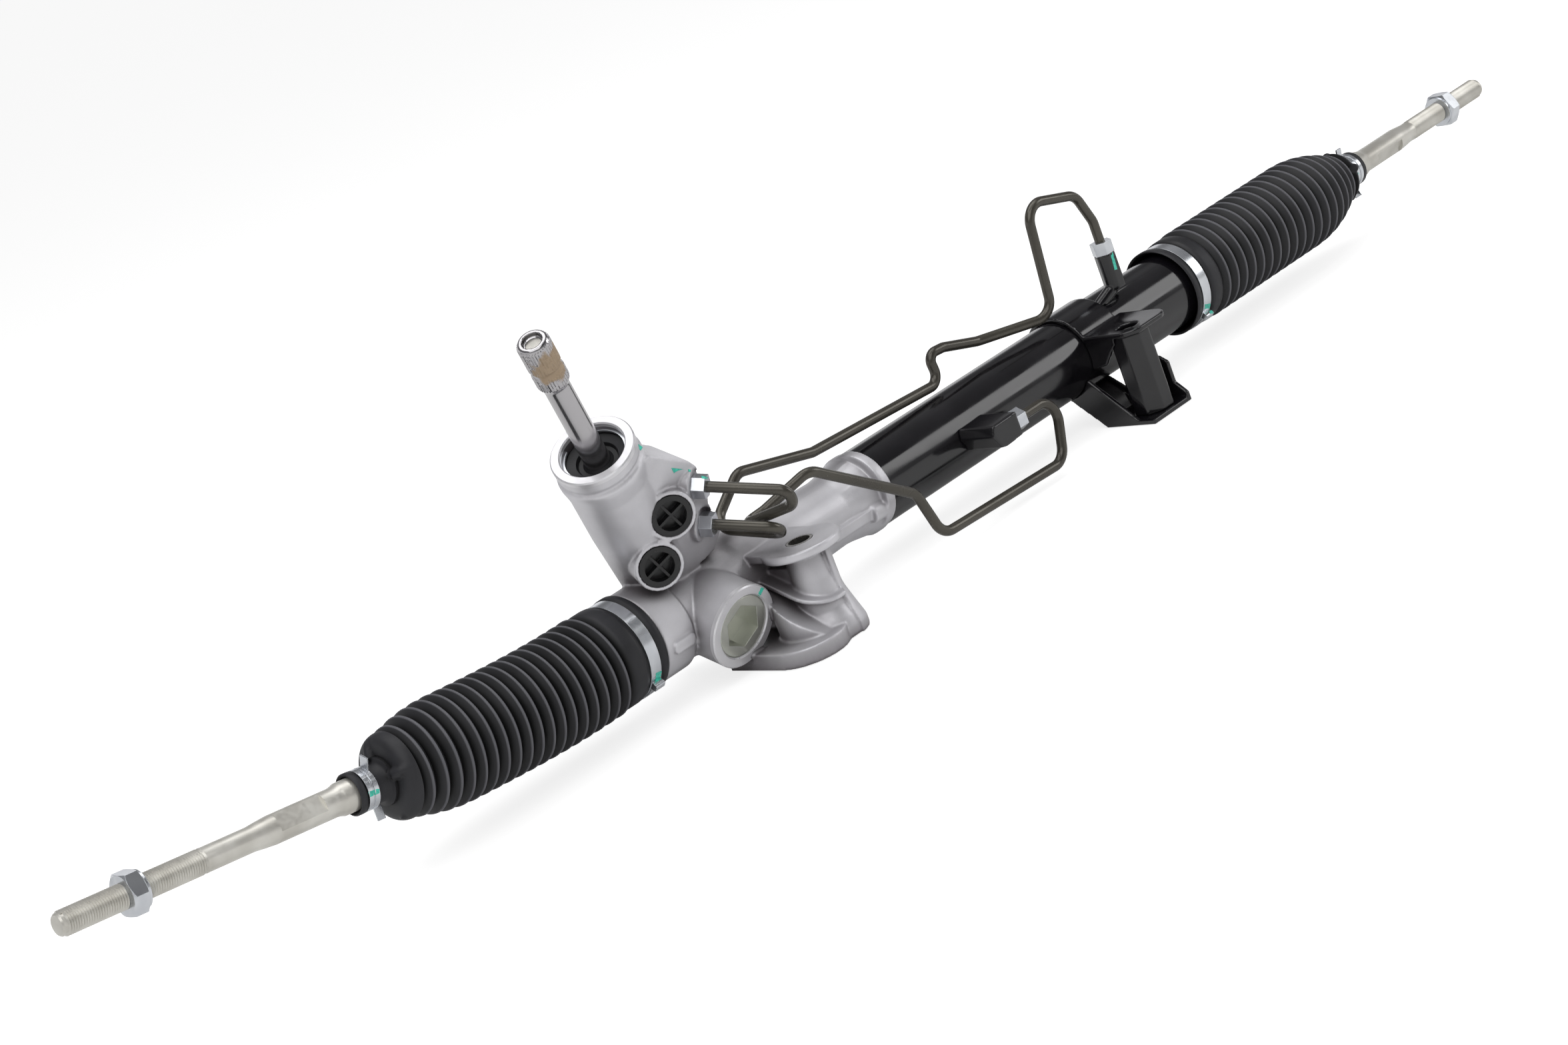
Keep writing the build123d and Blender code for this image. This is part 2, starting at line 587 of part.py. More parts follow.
def flange_gusset(angle):
    """Cast gusset between the joint flange and the neck."""
    back = -FLANGE_THICK
    return on_rack_side([(back + 1, 18), (back + 1, FLANGE_R - 1.2), (back - 3, FLANGE_R - 1.2),
                         (back - 22, NECK_R), (back - 22, 18)], GUSSET_THICK, angle)


def neck_rib():
    """Cast rib along the neck, from the deck to the flange's lug."""
    back = -FLANGE_THICK
    return on_rack_side([(back, 18), (back, RIB_TOP), (-48, RIB_TOP), (-56, NECK_R), (-56, 18)],
                        RIB_WIDTH, RIB_ANGLE)


def cuff_lug():
    """Slotted lug on the cuff, next to the boot."""
    middle = CUFF_END - 1 - CUFF_LUG_LENGTH / 2
    lug = Pos(middle, CUFF_R - 1, 0) * Box(CUFF_LUG_LENGTH, 6.5, CUFF_LUG_WIDTH)
    lug = fillet(lug.edges().filter_by(Axis.Y), 3)
    slot = Pos(middle - 2, CUFF_R + 2, 0) * Box(CUFF_LUG_LENGTH - 5, 2.4, 1.6)
    return Rot(CUFF_LUG_ANGLE, 0, 0) * (lug - slot)


def flange_lug():
    """Round cast lug of the joint flange."""
    angle = math.radians(LUG_ANGLE)
    y, z = LUG_RADIUS * math.cos(angle), LUG_RADIUS * math.sin(angle)
    return rod(LUG_R, (-FLANGE_THICK - 10, y, z), (-1, y, z))


def housing():
    """Casting of the rack's barrel, pinion tower, yoke boss and mounting column, with its bores."""
    cuff = HOUSING_LEFT + BOOT_START + GAP
    barrel = turned_on_x([
        (HOUSING_LEFT, 0), (HOUSING_LEFT, CASTING_SEAT_R - 1), (HOUSING_LEFT + 1, CASTING_SEAT_R),
        (cuff, CASTING_SEAT_R), (cuff + 0.5, CUFF_R), (CUFF_END, CUFF_R),
        (CUFF_END + 2, BARREL_R), (-110, BARREL_R), (-80, NECK_R + 1.5), (-30, NECK_R), (-24, NECK_R + 0.5),
        (-FLANGE_THICK, FLANGE_R - 1), (-FLANGE_THICK, FLANGE_R), (0, FLANGE_R), (0, TUBE_BORE),
        (SPIGOT_LENGTH, TUBE_BORE), (SPIGOT_LENGTH, 0)])
    body = barrel + valve_tower()
    body += rod(YOKE_BOSS_R, yoke_point(0), yoke_point(YOKE_FACE))
    body += mounting_boss()
    lobe = Vector(0, -FLANGE_LOBE * math.cos(math.radians(22)), FLANGE_LOBE * math.sin(math.radians(22)))
    body += rod(FLANGE_R - 1, Vector(-FLANGE_THICK, 0, 0) + lobe, lobe)
    body += flange_lug() + neck_rib() + cuff_lug()
    for angle in GUSSET_ANGLES:
        body += flange_gusset(angle)
    body += pipe_port_block()
    for point in pipe_port_points():
        body += rod(10, point - PIPE_OUT * 20, point)
    for point in plug_points():
        body += rod(PLUG_R + 2.5, point - PLUG_OUT * 20, point)
    body -= tower_bore()
    body -= on_x(RACK_R + 2, HOUSING_LEFT - 1, SPIGOT_LENGTH + 1)
    body -= on_x(20.5, HOUSING_LEFT - 1, HOUSING_LEFT + SOCKET_POCKET)
    body -= rod(YOKE_BORE, yoke_point(2), yoke_point(YOKE_FACE + 1))
    for point in pipe_port_points():
        body -= rod(9.5, point, point + PIPE_OUT * 20)
        body -= rod(PORT_THREAD_R, point - PIPE_OUT * PORT_DEPTH, point + PIPE_OUT)
        body -= rod(2, point - PIPE_OUT * 30, point)
    for point in plug_points():
        body -= rod(PLUG_R, point - PLUG_OUT * 2.5, point + PLUG_OUT * 20)
        body -= rod(PLUG_R - 1.5, point - PLUG_OUT * (PLUG_DEPTH + 0.2), point)
        body -= rod(4, point - PLUG_OUT * 16, point)
    body -= rod(SLEEVE_OUTER_R, (BOSS_X, BOLT_Y, SEAT_Z - 1), (BOSS_X, BOLT_Y, SEAT_Z + BOSS_TOP + 1))
    return body


# ---------------------------------------------------------------- mounting and yoke
def boss_sleeve():
    """Steel sleeve that lines the casting's mounting hole."""
    foot = (BOSS_X, BOLT_Y, SEAT_Z)
    head = (BOSS_X, BOLT_Y, SEAT_Z + BOSS_TOP)
    return pipe_wall(SLEEVE_OUTER_R, BOLT_HOLE_R, foot, head)


def yoke():
    """Slider that presses the rack bar against the pinion."""
    slider = rod(YOKE_BORE - RUN, yoke_point(6), yoke_point(6 + YOKE_HEIGHT))
    slider -= on_x(RACK_R + RUN, MESH_X - 40, MESH_X + 40)
    return slider - rod(8, yoke_point(SPRING_SEAT), yoke_point(7 + YOKE_HEIGHT))


def yoke_spring():
    """Coil spring between the yoke and its plug."""
    start = SPRING_SEAT
    end = YOKE_FACE - 1 - YOKE_PLUG_LENGTH
    wire = 0.9
    coil_r = 6.4
    turns = 3
    pitch = (end - start - 2 * wire) / turns
    path = Helix(pitch=pitch, height=pitch * turns, radius=coil_r)
    section = Plane(origin=path @ 0, z_dir=path % 0) * RegularPolygon(wire, 6)
    coil = sweep(section, path=path, is_frenet=True)
    seat = Plane(origin=yoke_point(start + wire), x_dir=(1, 0, 0), z_dir=TO_YOKE)
    return seat * coil


def yoke_plug():
    """Screwed plug behind the yoke's spring, with a hexagon key socket."""
    inner = YOKE_FACE - 1 - YOKE_PLUG_LENGTH
    plug = rod(YOKE_BORE - 0.1, yoke_point(inner), yoke_point(YOKE_FACE - 1))
    plug = chamfer(plug.edges().filter_by(GeomType.CIRCLE), 0.8)
    key = hexagon(HEX_KEY, yoke_point(YOKE_FACE - 11), yoke_point(YOKE_FACE))
    return plug - key


# ---------------------------------------------------------------- cylinder
def cylinder_tube():
    """Steel tube with the retaining wire's groove and the holes of its two ports."""
    tube = pipe_wall(TUBE_R, TUBE_BORE, (0, 0, 0), (TUBE_END, 0, 0))
    tube -= pipe_wall(TUBE_BORE + 1.2, TUBE_BORE - 1, (RETAINER_X, 0, 0), (RETAINER_X + 2, 0, 0))
    base, tip = left_port_axis()
    tube -= rod(PIPE_BORE, base, tip)
    base, tip = right_port_axis()
    return tube - rod(PIPE_BORE, base - (tip - base) * 0.7, tip)


def inner_seal():
    """Seal of the rack bar at the casting's end of the cylinder."""
    return pipe_wall(TUBE_BORE, RACK_R + RUN, (INNER_SEAL_X - 6, 0, 0), (INNER_SEAL_X, 0, 0))


def bulkhead():
    """Bush that carries the rack bar in the open end of the tube."""
    end = BULKHEAD_X + BULKHEAD_LENGTH
    return turned_on_x([
        (BULKHEAD_X + 6, RACK_R + RUN), (end, RACK_R + RUN), (end, TUBE_BORE), (BULKHEAD_X + 16, TUBE_BORE),
        (BULKHEAD_X + 16, TUBE_BORE - 2), (BULKHEAD_X + 12.5, TUBE_BORE - 2), (BULKHEAD_X + 12.5, TUBE_BORE),
        (BULKHEAD_X, TUBE_BORE), (BULKHEAD_X, RACK_R + 3), (BULKHEAD_X + 6, RACK_R + 3)])


def bulkhead_seal():
    """Seal of the rack bar in the bulkhead."""
    return pipe_wall(RACK_R + 3, RACK_R + RUN, (BULKHEAD_X, 0, 0), (BULKHEAD_X + 6, 0, 0))


def bulkhead_o_ring():
    """Ring between the bulkhead and the tube."""
    return turned_on_x([(BULKHEAD_X + 12.5, TUBE_BORE - 2), (BULKHEAD_X + 16, TUBE_BORE - 2),
                        (BULKHEAD_X + 16, TUBE_BORE), (BULKHEAD_X + 12.5, TUBE_BORE)])


def retaining_wire():
    """Wire ring that holds the bulkhead in the tube."""
    return pipe_wall(TUBE_BORE + 1.2, TUBE_BORE - 1, (RETAINER_X, 0, 0), (RETAINER_X + 2, 0, 0))


# ---------------------------------------------------------------- ports of the tube
def left_port_axis():
    """Bore of the left port: from inside the tube wall out to its face."""
    return Vector(LEFT_PORT_X, -10, 0), Vector(LEFT_PORT_X, LEFT_PORT_Y, 0)


def right_port_axis():
    """Neck of the right port stands on the tube and carries an upright barrel."""
    lean = math.radians(RIGHT_PORT_ANGLE)
    base = Vector(RIGHT_PORT_X, TUBE_R * math.cos(lean), TUBE_R * math.sin(lean))
    return base, base + Vector(*RIGHT_NECK)


def left_pipe_seat():
    """Face of the left port's tapped hole."""
    return Vector(LEFT_SEAT_X, LEFT_PORT_Y + 7, 0.5)


def right_pipe_seat():
    """Face of the right port's tapped hole."""
    base, tip = right_port_axis()
    return Vector(tip.X, tip.Y, tip.Z + RIGHT_BARREL)


def left_port():
    """Forged block with bevelled corners, welded to the tube."""
    x1 = LEFT_SEAT_X
    outline = Polyline((x1, 8), (x1 - 22, 7.5), (x1 - 24.5, 1.5), (x1 - 20, -7), (x1 - 15, -8), (x1, -7),
                       close=True)
    face = make_face(Plane.XZ.offset(-LEFT_PORT_Y) * outline)
    block = extrude(face, -LEFT_PORT_Y - 10, dir=(0, 1, 0)) - on_x(TUBE_R, LEFT_PORT_X - 40, LEFT_PORT_X + 40)
    seat = left_pipe_seat()
    inner = Vector(LEFT_PORT_X, seat.Y, 0)
    block -= rod(PIPE_BORE, (LEFT_PORT_X, -10, 0), inner)
    return block - rod(PORT_THREAD_R, seat - Vector(PORT_DEPTH, 0, 0), seat + Vector(1, 0, 0))


def right_port():
    """Leaning neck on the tube that carries an upright barrel with flats."""
    base, tip = right_port_axis()
    seat = right_pipe_seat()
    inside = base - (tip - base) * 0.4
    foot = tip - Vector(0, 0, 2)
    body = rod(RIGHT_NECK_R, inside, tip)
    body += hexagon(RIGHT_BARREL_AF, foot, seat) & rod(RIGHT_BARREL_AF * 0.56, foot, seat)
    body -= on_x(TUBE_R, RIGHT_PORT_X - 40, RIGHT_PORT_X + 40)
    body -= rod(PIPE_BORE, inside, tip)
    body -= rod(PIPE_BORE, tip, seat)
    return body - rod(PORT_THREAD_R, seat - Vector(0, 0, PORT_DEPTH), seat + Vector(0, 0, 1))


# ---------------------------------------------------------------- pipes
def bent_path(points, radius):
    """Straight runs joined by round bends of one radius."""
    corners = [Vector(*point) for point in points]
    edges = []
    start = corners[0]
    for before, corner, after in zip(corners, corners[1:], corners[2:]):
        back = (before - corner).normalized()
        ahead = (after - corner).normalized()
        half = math.acos(max(-1.0, min(1.0, back.dot(ahead)))) / 2
        reach = min(radius / math.tan(half), 0.48 * (before - corner).length, 0.48 * (after - corner).length)
        bend = reach * math.tan(half)
        middle = (back + ahead).normalized()
        centre = corner + middle * (bend / math.sin(half))
        first = corner + back * reach
        last = corner + ahead * reach
        edges.append(Line(start, first))
        edges.append(ThreePointArc(first, centre - middle * bend, last))
        start = last
    edges.append(Line(start, corners[-1]))
    return Wire(edges)


def bent_pipe(points):
    """Hollow pipe along a bent path."""
    path = bent_path(points, PIPE_BEND)
    section = Plane(origin=path @ 0, z_dir=path % 0) * (Circle(PIPE_R) - Circle(PIPE_BORE))
    return sweep(section, path=path)


def left_pipe_points():
    """Upper port of the valve housing to the left port of the tube."""
    port = pipe_port_points()[0]
    seat = left_pipe_seat()
    return [port - PIPE_OUT * PIPE_INSERT, port + PIPE_OUT * LEFT_PIPE_REACH, *LEFT_PIPE_RUN,
            seat + Vector(42.5, 0, 0), seat - Vector(PIPE_INSERT, 0, 0)]


def right_pipe_points():
    """Lower port of the valve housing to the right port of the tube."""
    port = pipe_port_points()[1]
    seat = right_pipe_seat()
    return [port - PIPE_OUT * PIPE_INSERT, port + PIPE_OUT * RIGHT_PIPE_REACH, *RIGHT_PIPE_RUN,
            seat + Vector(-8, 0, 43), seat + Vector(0, 0, 22), seat - Vector(0, 0, PIPE_INSERT)]


def flare_nut(seat, out):
    """Union nut over the end of a pipe, screwed into its port."""
    foot = seat - out * (PORT_DEPTH - 1)
    end = seat + out * FLARE_NUT_LENGTH
    return hexagon(FLARE_NUT_AF, seat, end) + rod(PORT_THREAD_R, foot, seat) - rod(PIPE_R, foot, end)


def port_plug(face):
    """Moulded plug with a dished face and a cross of ribs."""
    floor = face - PLUG_OUT * (PLUG_DEPTH - 1.2)
    plug = rod(PLUG_R - 0.1, face - PLUG_OUT * 2.5, face)
    plug += rod(PLUG_R - 1.6, face - PLUG_OUT * PLUG_DEPTH, face)
    plug -= rod(PLUG_R - 3.2, floor, face + PLUG_OUT)
    place = Plane(origin=floor, x_dir=Vector(0, 0, 1).cross(PLUG_OUT), z_dir=PLUG_OUT)
    ribs = Box(2 * PLUG_R - 6, 1.6, PLUG_DEPTH - 2, align=(Align.CENTER, Align.CENTER, Align.MIN))
    ribs += Rot(0, 0, 90) * ribs
    return plug + place * Rot(0, 0, 25) * ribs


# ---------------------------------------------------------------- steel bracket
def side_plate(x, points, thick):
    """Flat sheet across the rack axis: points are (y, z) pairs."""
    return extrude(make_face(Plane.YZ.offset(x) * Polyline(*points, close=True)), thick)


def bracket_top():
    """Pressed saddle over the tube, with the flat plate of the mounting hole and a gusset."""
    top = SEAT_Z + BOSS_TOP - 1
    centre = (SADDLE_X0 + SADDLE_X1) / 2
    saddle = pipe_wall(TUBE_R + SHEET, TUBE_R, (SADDLE_X0, 0, 0), (SADDLE_X1, 0, 0))
    saddle = saddle & Pos(centre, 0, 14) * Box(80, 80, 40)
    length = PLATE_X1 - SADDLE_X0
    plate = Pos(SADDLE_X0 + length / 2, BOLT_Y / 2 - 10, top - SHEET / 2) * Box(length, 60, SHEET)
    corners = plate.edges().filter_by(Axis.Z).sort_by(Axis.Y)[0:2]
    plate = fillet(corners, 12)
    under = top - SHEET / 2
    gusset = side_plate(SADDLE_X0, [(-20, under), (-50, under), (-49, 6), (-43, 1), (-36, -7), (-20, -10)],
                        SHEET)
    body = saddle + plate + gusset - on_x(TUBE_R, SADDLE_X0 - 1, PLATE_X1 + 1)
    bolt = rod(BOLT_HOLE_R, (BRACKET_X, BOLT_Y, 0), (BRACKET_X, BOLT_Y, top + 1))
    return body - bolt - rod(COLUMN_R * 1.1, (BRACKET_X, BOLT_Y, -20), (BRACKET_X, BOLT_Y, top - SHEET))


def bracket_bottom():
    """Strap under the tube: a floor with the lower mounting face, a strut wall and a tall wall."""
    low = SEAT_Z
    width = WALL_RIGHT - WALL_LEFT
    floor = Pos((WALL_LEFT + WALL_RIGHT) / 2, -45, low + SHEET / 2) * Box(width, 41, SHEET)
    ramp = side_plate(WALL_LEFT, [(-25, low), (-3, -27), (0, -24), (-25, low + SHEET)], width)
    strut = side_plate(WALL_LEFT, [(-52, low), (-25, low), (-3, -27), (-3, -20), (-20, -12), (-25, -17),
                                   (-52, low + SHEET)], SHEET)
    tall = side_plate(WALL_RIGHT - SHEET, [
        (-65.5, low), (-25, low), (-3, -27), (-3, -24), (-17, -34), (-32, -34), (-44, -13), (-52, -15),
        (-58, -19), (-58, -33), (-65.5, -40)], SHEET)
    body = floor + ramp + strut + tall - on_x(TUBE_R, WALL_LEFT - 1, WALL_RIGHT + 1)
    return body - rod(BOLT_HOLE_R, (BRACKET_X, BOLT_Y, low - 1), (BRACKET_X, BOLT_Y, low + SHEET + 1))


def bracket_column():
    """Rolled spacer between the two plates, for the mounting bolt."""
    low = SEAT_Z + SHEET
    high = SEAT_Z + BOSS_TOP - 1 - SHEET
    octagon = Rot(0, 0, 22.5) * RegularPolygon(COLUMN_R, 8, major_radius=False)
    outer = Plane(origin=(BRACKET_X, BOLT_Y, low)) * octagon
    return extrude(outer, high - low) - rod(BOLT_HOLE_R, (BRACKET_X, BOLT_Y, low), (BRACKET_X, BOLT_Y, high))


# ---------------------------------------------------------------- inner ball joints and tie rods
def rod_place(ball, direction):
    """Frame at a ball centre whose Z runs out along its tie rod."""
    return Plane(origin=(ball, 0, 0), x_dir=(0, 1, 0), z_dir=direction)


def inner_socket(ball, way):
    """Steel socket screwed into the end of the rack bar and rolled over the ball seat."""
    mouth = 9.0
    socket = turned([
        (0, -SOCKET_DEPTH - SOCKET_STUD_LENGTH), (SOCKET_STUD_R, -SOCKET_DEPTH - SOCKET_STUD_LENGTH),
        (SOCKET_STUD_R, -SOCKET_DEPTH), (14, -SOCKET_DEPTH), (SOCKET_R, -SOCKET_DEPTH + 3),
        (SOCKET_R, mouth - 4), (SOCKET_R - 4, mouth + 2), (11.8, mouth + 2.5), (0, mouth + 2.5)])
    socket -= Sphere(SEAT_R)
    socket -= Pos(0, 0, mouth - 1) * Cone(10.6, 12.6, 5, align=(Align.CENTER, Align.CENTER, Align.MIN))
    flats = Pos(0, 0, -10) * Box(SOCKET_AF, 60, 8) & Pos(0, 0, -10) * Box(60, 60, 8)
    collar = Pos(0, 0, -10) * Box(60, 60, 8) - flats
    return rod_place(ball, (way, 0, 0)) * (socket - collar)


def ball_seat(ball, direction):
    """Plastic shell between the ball and its socket."""
    edge = 6.5
    shell = Sphere(SEAT_R - RUN) - Sphere(BALL_R + RUN)
    shell -= Pos(0, 0, edge) * Cylinder(SEAT_R + 1, SEAT_R, align=(Align.CENTER, Align.CENTER, Align.MIN))
    shell -= Pos(0, 0, -SEAT_R - 1) * Cylinder(4, SEAT_R, align=(Align.CENTER, Align.CENTER, Align.MIN))
    return rod_place(ball, direction) * shell


def tie_rod(ball, direction, boot_end):
    """Rod with its ball, shoulder under the neck of the boot, wrench flats and threaded end."""
    tip = TIE_ROD_LENGTH
    neck = 5.5
    shoulder_end = boot_end + 7
    shoulder_start = boot_end + 3 - SHOULDER_LENGTH
    flats_start = boot_end + FLATS_OFFSET
    flats_end = flats_start + FLATS_LENGTH
    thread_start = tip - THREAD_LENGTH
    nut_start = tip - FREE_THREAD - JAM_NUT_THICK
    nut_end = tip - FREE_THREAD
    bar = turned([
        (0, 0), (neck, 0), (neck, 26), (6.5, 36), (SHANK_R, shoulder_start - 8), (SHOULDER_R, shoulder_start),
        (SHOULDER_R, shoulder_end), (SHOULDER_R - 0.7, shoulder_end + 2), (FLATS_R, shoulder_end + 5),
        (FLATS_R, flats_end + 2), (FLATS_R - 0.5, flats_end + 8), (SHANK_R, flats_end + 15),
        (SHANK_R, thread_start - 2), (THREAD_R, thread_start), (THREAD_R, nut_start),
        (THREAD_PITCH_R, nut_start), (THREAD_PITCH_R, nut_end), (THREAD_R, nut_end), (THREAD_R, tip - 2),
        (THREAD_R - 1.6, tip), (0, tip)])
    bar += Sphere(BALL_R)
    flat = Pos(0, 0, flats_start) * Box(10, 30, FLATS_LENGTH, align=(Align.MIN, Align.CENTER, Align.MIN))
    for turn in (0, 180):
        bar -= Rot(0, 0, FLATS_TURN + turn) * Pos(FLATS_AF / 2, 0, 0) * flat
    return rod_place(ball, direction) * bar


def jam_nut(ball, direction):
    """Hexagon nut with both ends chamfered and a round washer face towards the boot."""
    inside = TIE_ROD_LENGTH - FREE_THREAD - JAM_NUT_THICK
    corner = JAM_NUT_AF / 2 + 2
    nut = extrude(RegularPolygon(JAM_NUT_AF / 2, 6, major_radius=False), JAM_NUT_THICK)
    chamfered = turned([(0, 0), (JAM_NUT_AF / 2 - 0.6, 0), (JAM_NUT_AF / 2 - 0.6, JAM_NUT_FACE),
                        (corner, JAM_NUT_FACE + 1.2), (corner, JAM_NUT_THICK - 1.4),
                        (JAM_NUT_AF / 2, JAM_NUT_THICK), (0, JAM_NUT_THICK)])
    nut = (nut & chamfered) - Cylinder(THREAD_PITCH_R, 3 * JAM_NUT_THICK)
    return rod_place(ball, direction) * Pos(0, 0, inside) * nut


# ---------------------------------------------------------------- boots and clamps
def boot_outline(length, cap, small_pleats, last_crest):
    """Outer radius along a boot, from its large end: lip, clamp seat, cuff, pleats, cap and neck."""
    pleats_start = 38.0
    pleats_end = length - cap
    pitch = (pleats_end - pleats_start) / PLEATS
    outline = [(0, BOOT_LIP), (5, BOOT_LIP), (6, BOOT_BAND_SEAT), (15, BOOT_BAND_SEAT), (16, BOOT_CUFF_R),
               (BOOT_START + 2, BOOT_CUFF_R), (pleats_start - 2, BOOT_CUFF_R)]
    shrink = 0.0
    for index in range(PLEATS):
        base = pleats_start + index * pitch
        outline.append((base, BOOT_ROOT - shrink))
        taper = max(0, index + 1 + small_pleats - PLEATS) / small_pleats
        shrink = (BOOT_CREST - last_crest) * taper * taper
        outline += [(base + 0.35 * pitch, BOOT_CREST - shrink), (base + 0.65 * pitch, BOOT_CREST - shrink)]
    slope_end = length - BOOT_NECK
    outline += [(pleats_end, last_crest - 2), ((pleats_end + slope_end) / 2, (last_crest + BOOT_NECK_R) / 2),
                (slope_end, BOOT_NECK_R), (length, BOOT_NECK_R)]
    return outline


def boot(start, end, way, seat, lift, cap, small_pleats, last_crest):
    """Convoluted boot: circles along its centre line, which lift() raises towards the tie rod."""
    length = abs(end - start)
    outline = boot_outline(length, cap, small_pleats, last_crest)
    inner = [(-1, seat + RUN), (BOOT_START + 0.5, seat + RUN), (BOOT_START + 1, BOOT_CUFF_R - BOOT_WALL)]
    inner += [(s, radius - BOOT_WALL) for s, radius in outline[6:-2]]
    inner += [(length - BOOT_NECK, SHOULDER_R + RUN), (length + 1, SHOULDER_R + RUN)]

    def skin(profile):
        rings = []
        for s, radius in profile:
            height, slope = lift(s)
            place = Plane(origin=(start + way * s, 0, height), z_dir=(way, 0, slope), x_dir=(0, 1, 0))
            rings.append(place * Circle(radius))
        return loft(rings, ruled=True)

    return skin(outline) - skin(inner)


def level(s):
    """Centre line of the right boot: straight."""
    return 0.0, 0.0


def towards_tie_rod(s):
    """Centre line of the left boot: level, then a soft curve, then straight along the tie rod."""
    slope = math.tan(math.radians(TIE_ROD_TILT))
    ball = HOUSING_LEFT + BOOT_START - LEFT_BALL
    bend_end = ball + LEFT_BOOT_END - LEFT_CAP
    if s <= BOOT_BEND_START:
        return 0.0, 0.0
    if s >= bend_end:
        return slope * (s - ball), slope
    span = bend_end - BOOT_BEND_START
    share = (s - BOOT_BEND_START) / span
    rise = slope * (bend_end - ball)
    height = rise * share * share * (3 - 2 * share) + BOOT_END_SLOPE * span * share * share * (share - 1)
    gradient = rise * 6 * share * (1 - share) / span + BOOT_END_SLOPE * share * (3 * share - 2)
    return height, gradient


def band_clamp(start, way):
    """Wide steel band round the large end of a boot, with its crimped ear below and the overlapping end."""
    inner = BOOT_BAND_SEAT
    outer = inner + CLAMP_THICK
    x0 = start + way * 6.3
    x1 = x0 + way * CLAMP_WIDTH
    middle = (x0 + x1) / 2
    band = pipe_wall(outer, inner, (x0, 0, 0), (x1, 0, 0))
    ear = Pos(middle, 0, -inner - 2.6) * Box(CLAMP_WIDTH - 1, 4.4, 4.4)
    ear = fillet(ear.edges().filter_by(Axis.X), 1.2)
    end = pipe_wall(outer + CLAMP_THICK, outer - 0.2, (x0 + way, 0, 0), (x1 - way, 0, 0))
    end = end & Pos(middle, 0, -inner) * Box(20, 18, inner, align=(Align.CENTER, Align.MIN, Align.CENTER))
    return band + Rot(CLAMP_EAR_TURN, 0, 0) * (ear + end)


def neck_clamp(ball, direction, boot_end):
    """Spring band round the small end of a boot: two turns with a gap, and two pinch tabs."""
    inner = BOOT_NECK_R
    outer = inner + CLAMP_THICK
    low = (Align.CENTER, Align.CENTER, Align.MIN)
    width = NECK_CLAMP_WIDTH
    ring = Cylinder(outer, width, align=low) - Cylinder(inner, 3 * width)
    groove = Pos(0, 0, width / 2) * (Cylinder(outer + 1, 1) - Cylinder(outer - CLAMP_THICK / 2, 1))
    ring -= groove
    edge_on = Pos(inner + 4, 0, 0.8) * Box(7.5, 1, 5, align=(Align.CENTER, Align.CENTER, Align.MAX))
    flat = Pos(inner + 4, 0, 0) * Box(7.5, 6, 1, align=low)
    ring += edge_on + Rot(0, 0, 150) * flat
    return rod_place(ball, direction) * Rot(0, 0, NECK_CLAMP_TURN) * Pos(0, 0, boot_end - 4 - width) * ring


os.makedirs("parts", exist_ok=True)

# casting and what is fixed in it
save("housing", housing())
save("mount_sleeve", boss_sleeve())
save("yoke", yoke())
save("yoke_spring", yoke_spring())
save("yoke_plug", yoke_plug())
save("upper_bearing", upper_bearing())
save("middle_bearing", middle_bearing())
save("lower_bearing", lower_bearing())
save("bottom_cap", bottom_cap())
save("top_seal", top_seal())
save("snap_ring", snap_ring())
for name, face in zip(("upper", "lower"), plug_points()):
    save(f"{name}_port_plug", port_plug(face))

# cylinder, its ports and pipes
save("cylinder_tube", cylinder_tube())
save("inner_seal", inner_seal())
save("bulkhead", bulkhead())
save("bulkhead_seal", bulkhead_seal())
save("bulkhead_o_ring", bulkhead_o_ring())
save("retaining_wire", retaining_wire())
save("left_port", left_port())
save("right_port", right_port())
save("left_pipe", bent_pipe(left_pipe_points()))
save("right_pipe", bent_pipe(right_pipe_points()))
for name, face in zip(("upper", "lower"), pipe_port_points()):
    save(f"{name}_flare_nut", flare_nut(face, PIPE_OUT))
save("left_flare_nut", flare_nut(left_pipe_seat(), Vector(1, 0, 0)))
save("right_flare_nut", flare_nut(right_pipe_seat(), Vector(0, 0, 1)))

# steel bracket
save("bracket_top", bracket_top())
save("bracket_bottom", bracket_bottom())
save("bracket_column", bracket_column())

# rack
save("rack_bar", rack_bar())
save("piston", piston())
save("piston_ring", piston_ring())

# pinion and valve
save("pinion_gear", pinion_gear())
save("pinion_nut", pinion_nut())
save("valve_sleeve", valve_sleeve())
for index in range(4):
    save(f"sleeve_seal_{index + 1}", sleeve_seal(index))
save("torsion_pin", torsion_pin())
save("torsion_bar", torsion_bar())
save("input_shaft", input_shaft())

# inner ball joints, tie rods, boots and clamps, left and right
sides = (("left", LEFT_BALL, -1, LEFT_ROD, HOUSING_LEFT + BOOT_START, LEFT_BOOT_END),
         ("right", RIGHT_BALL, 1, RIGHT_ROD, TUBE_END - BOOT_START, RIGHT_BOOT_END))
for side, ball, way, out, boot_start, boot_end in sides:
    save(f"{side}_inner_socket", inner_socket(ball, way))
    save(f"{side}_ball_seat", ball_seat(ball, out))
    save(f"{side}_tie_rod", tie_rod(ball, out, boot_end))
    save(f"{side}_jam_nut", jam_nut(ball, out))
    save(f"{side}_band_clamp", band_clamp(boot_start, way))
    save(f"{side}_neck_clamp", neck_clamp(ball, out, boot_end))
save("left_boot", boot(HOUSING_LEFT + BOOT_START, LEFT_BALL - LEFT_BOOT_END, -1, CASTING_SEAT_R,
                       towards_tie_rod, LEFT_CAP, LEFT_SMALL_PLEATS, LEFT_LAST_CREST))
save("right_boot", boot(TUBE_END - BOOT_START, RIGHT_BALL + RIGHT_BOOT_END, 1, TUBE_R,
                        level, RIGHT_CAP, RIGHT_SMALL_PLEATS, RIGHT_LAST_CREST))
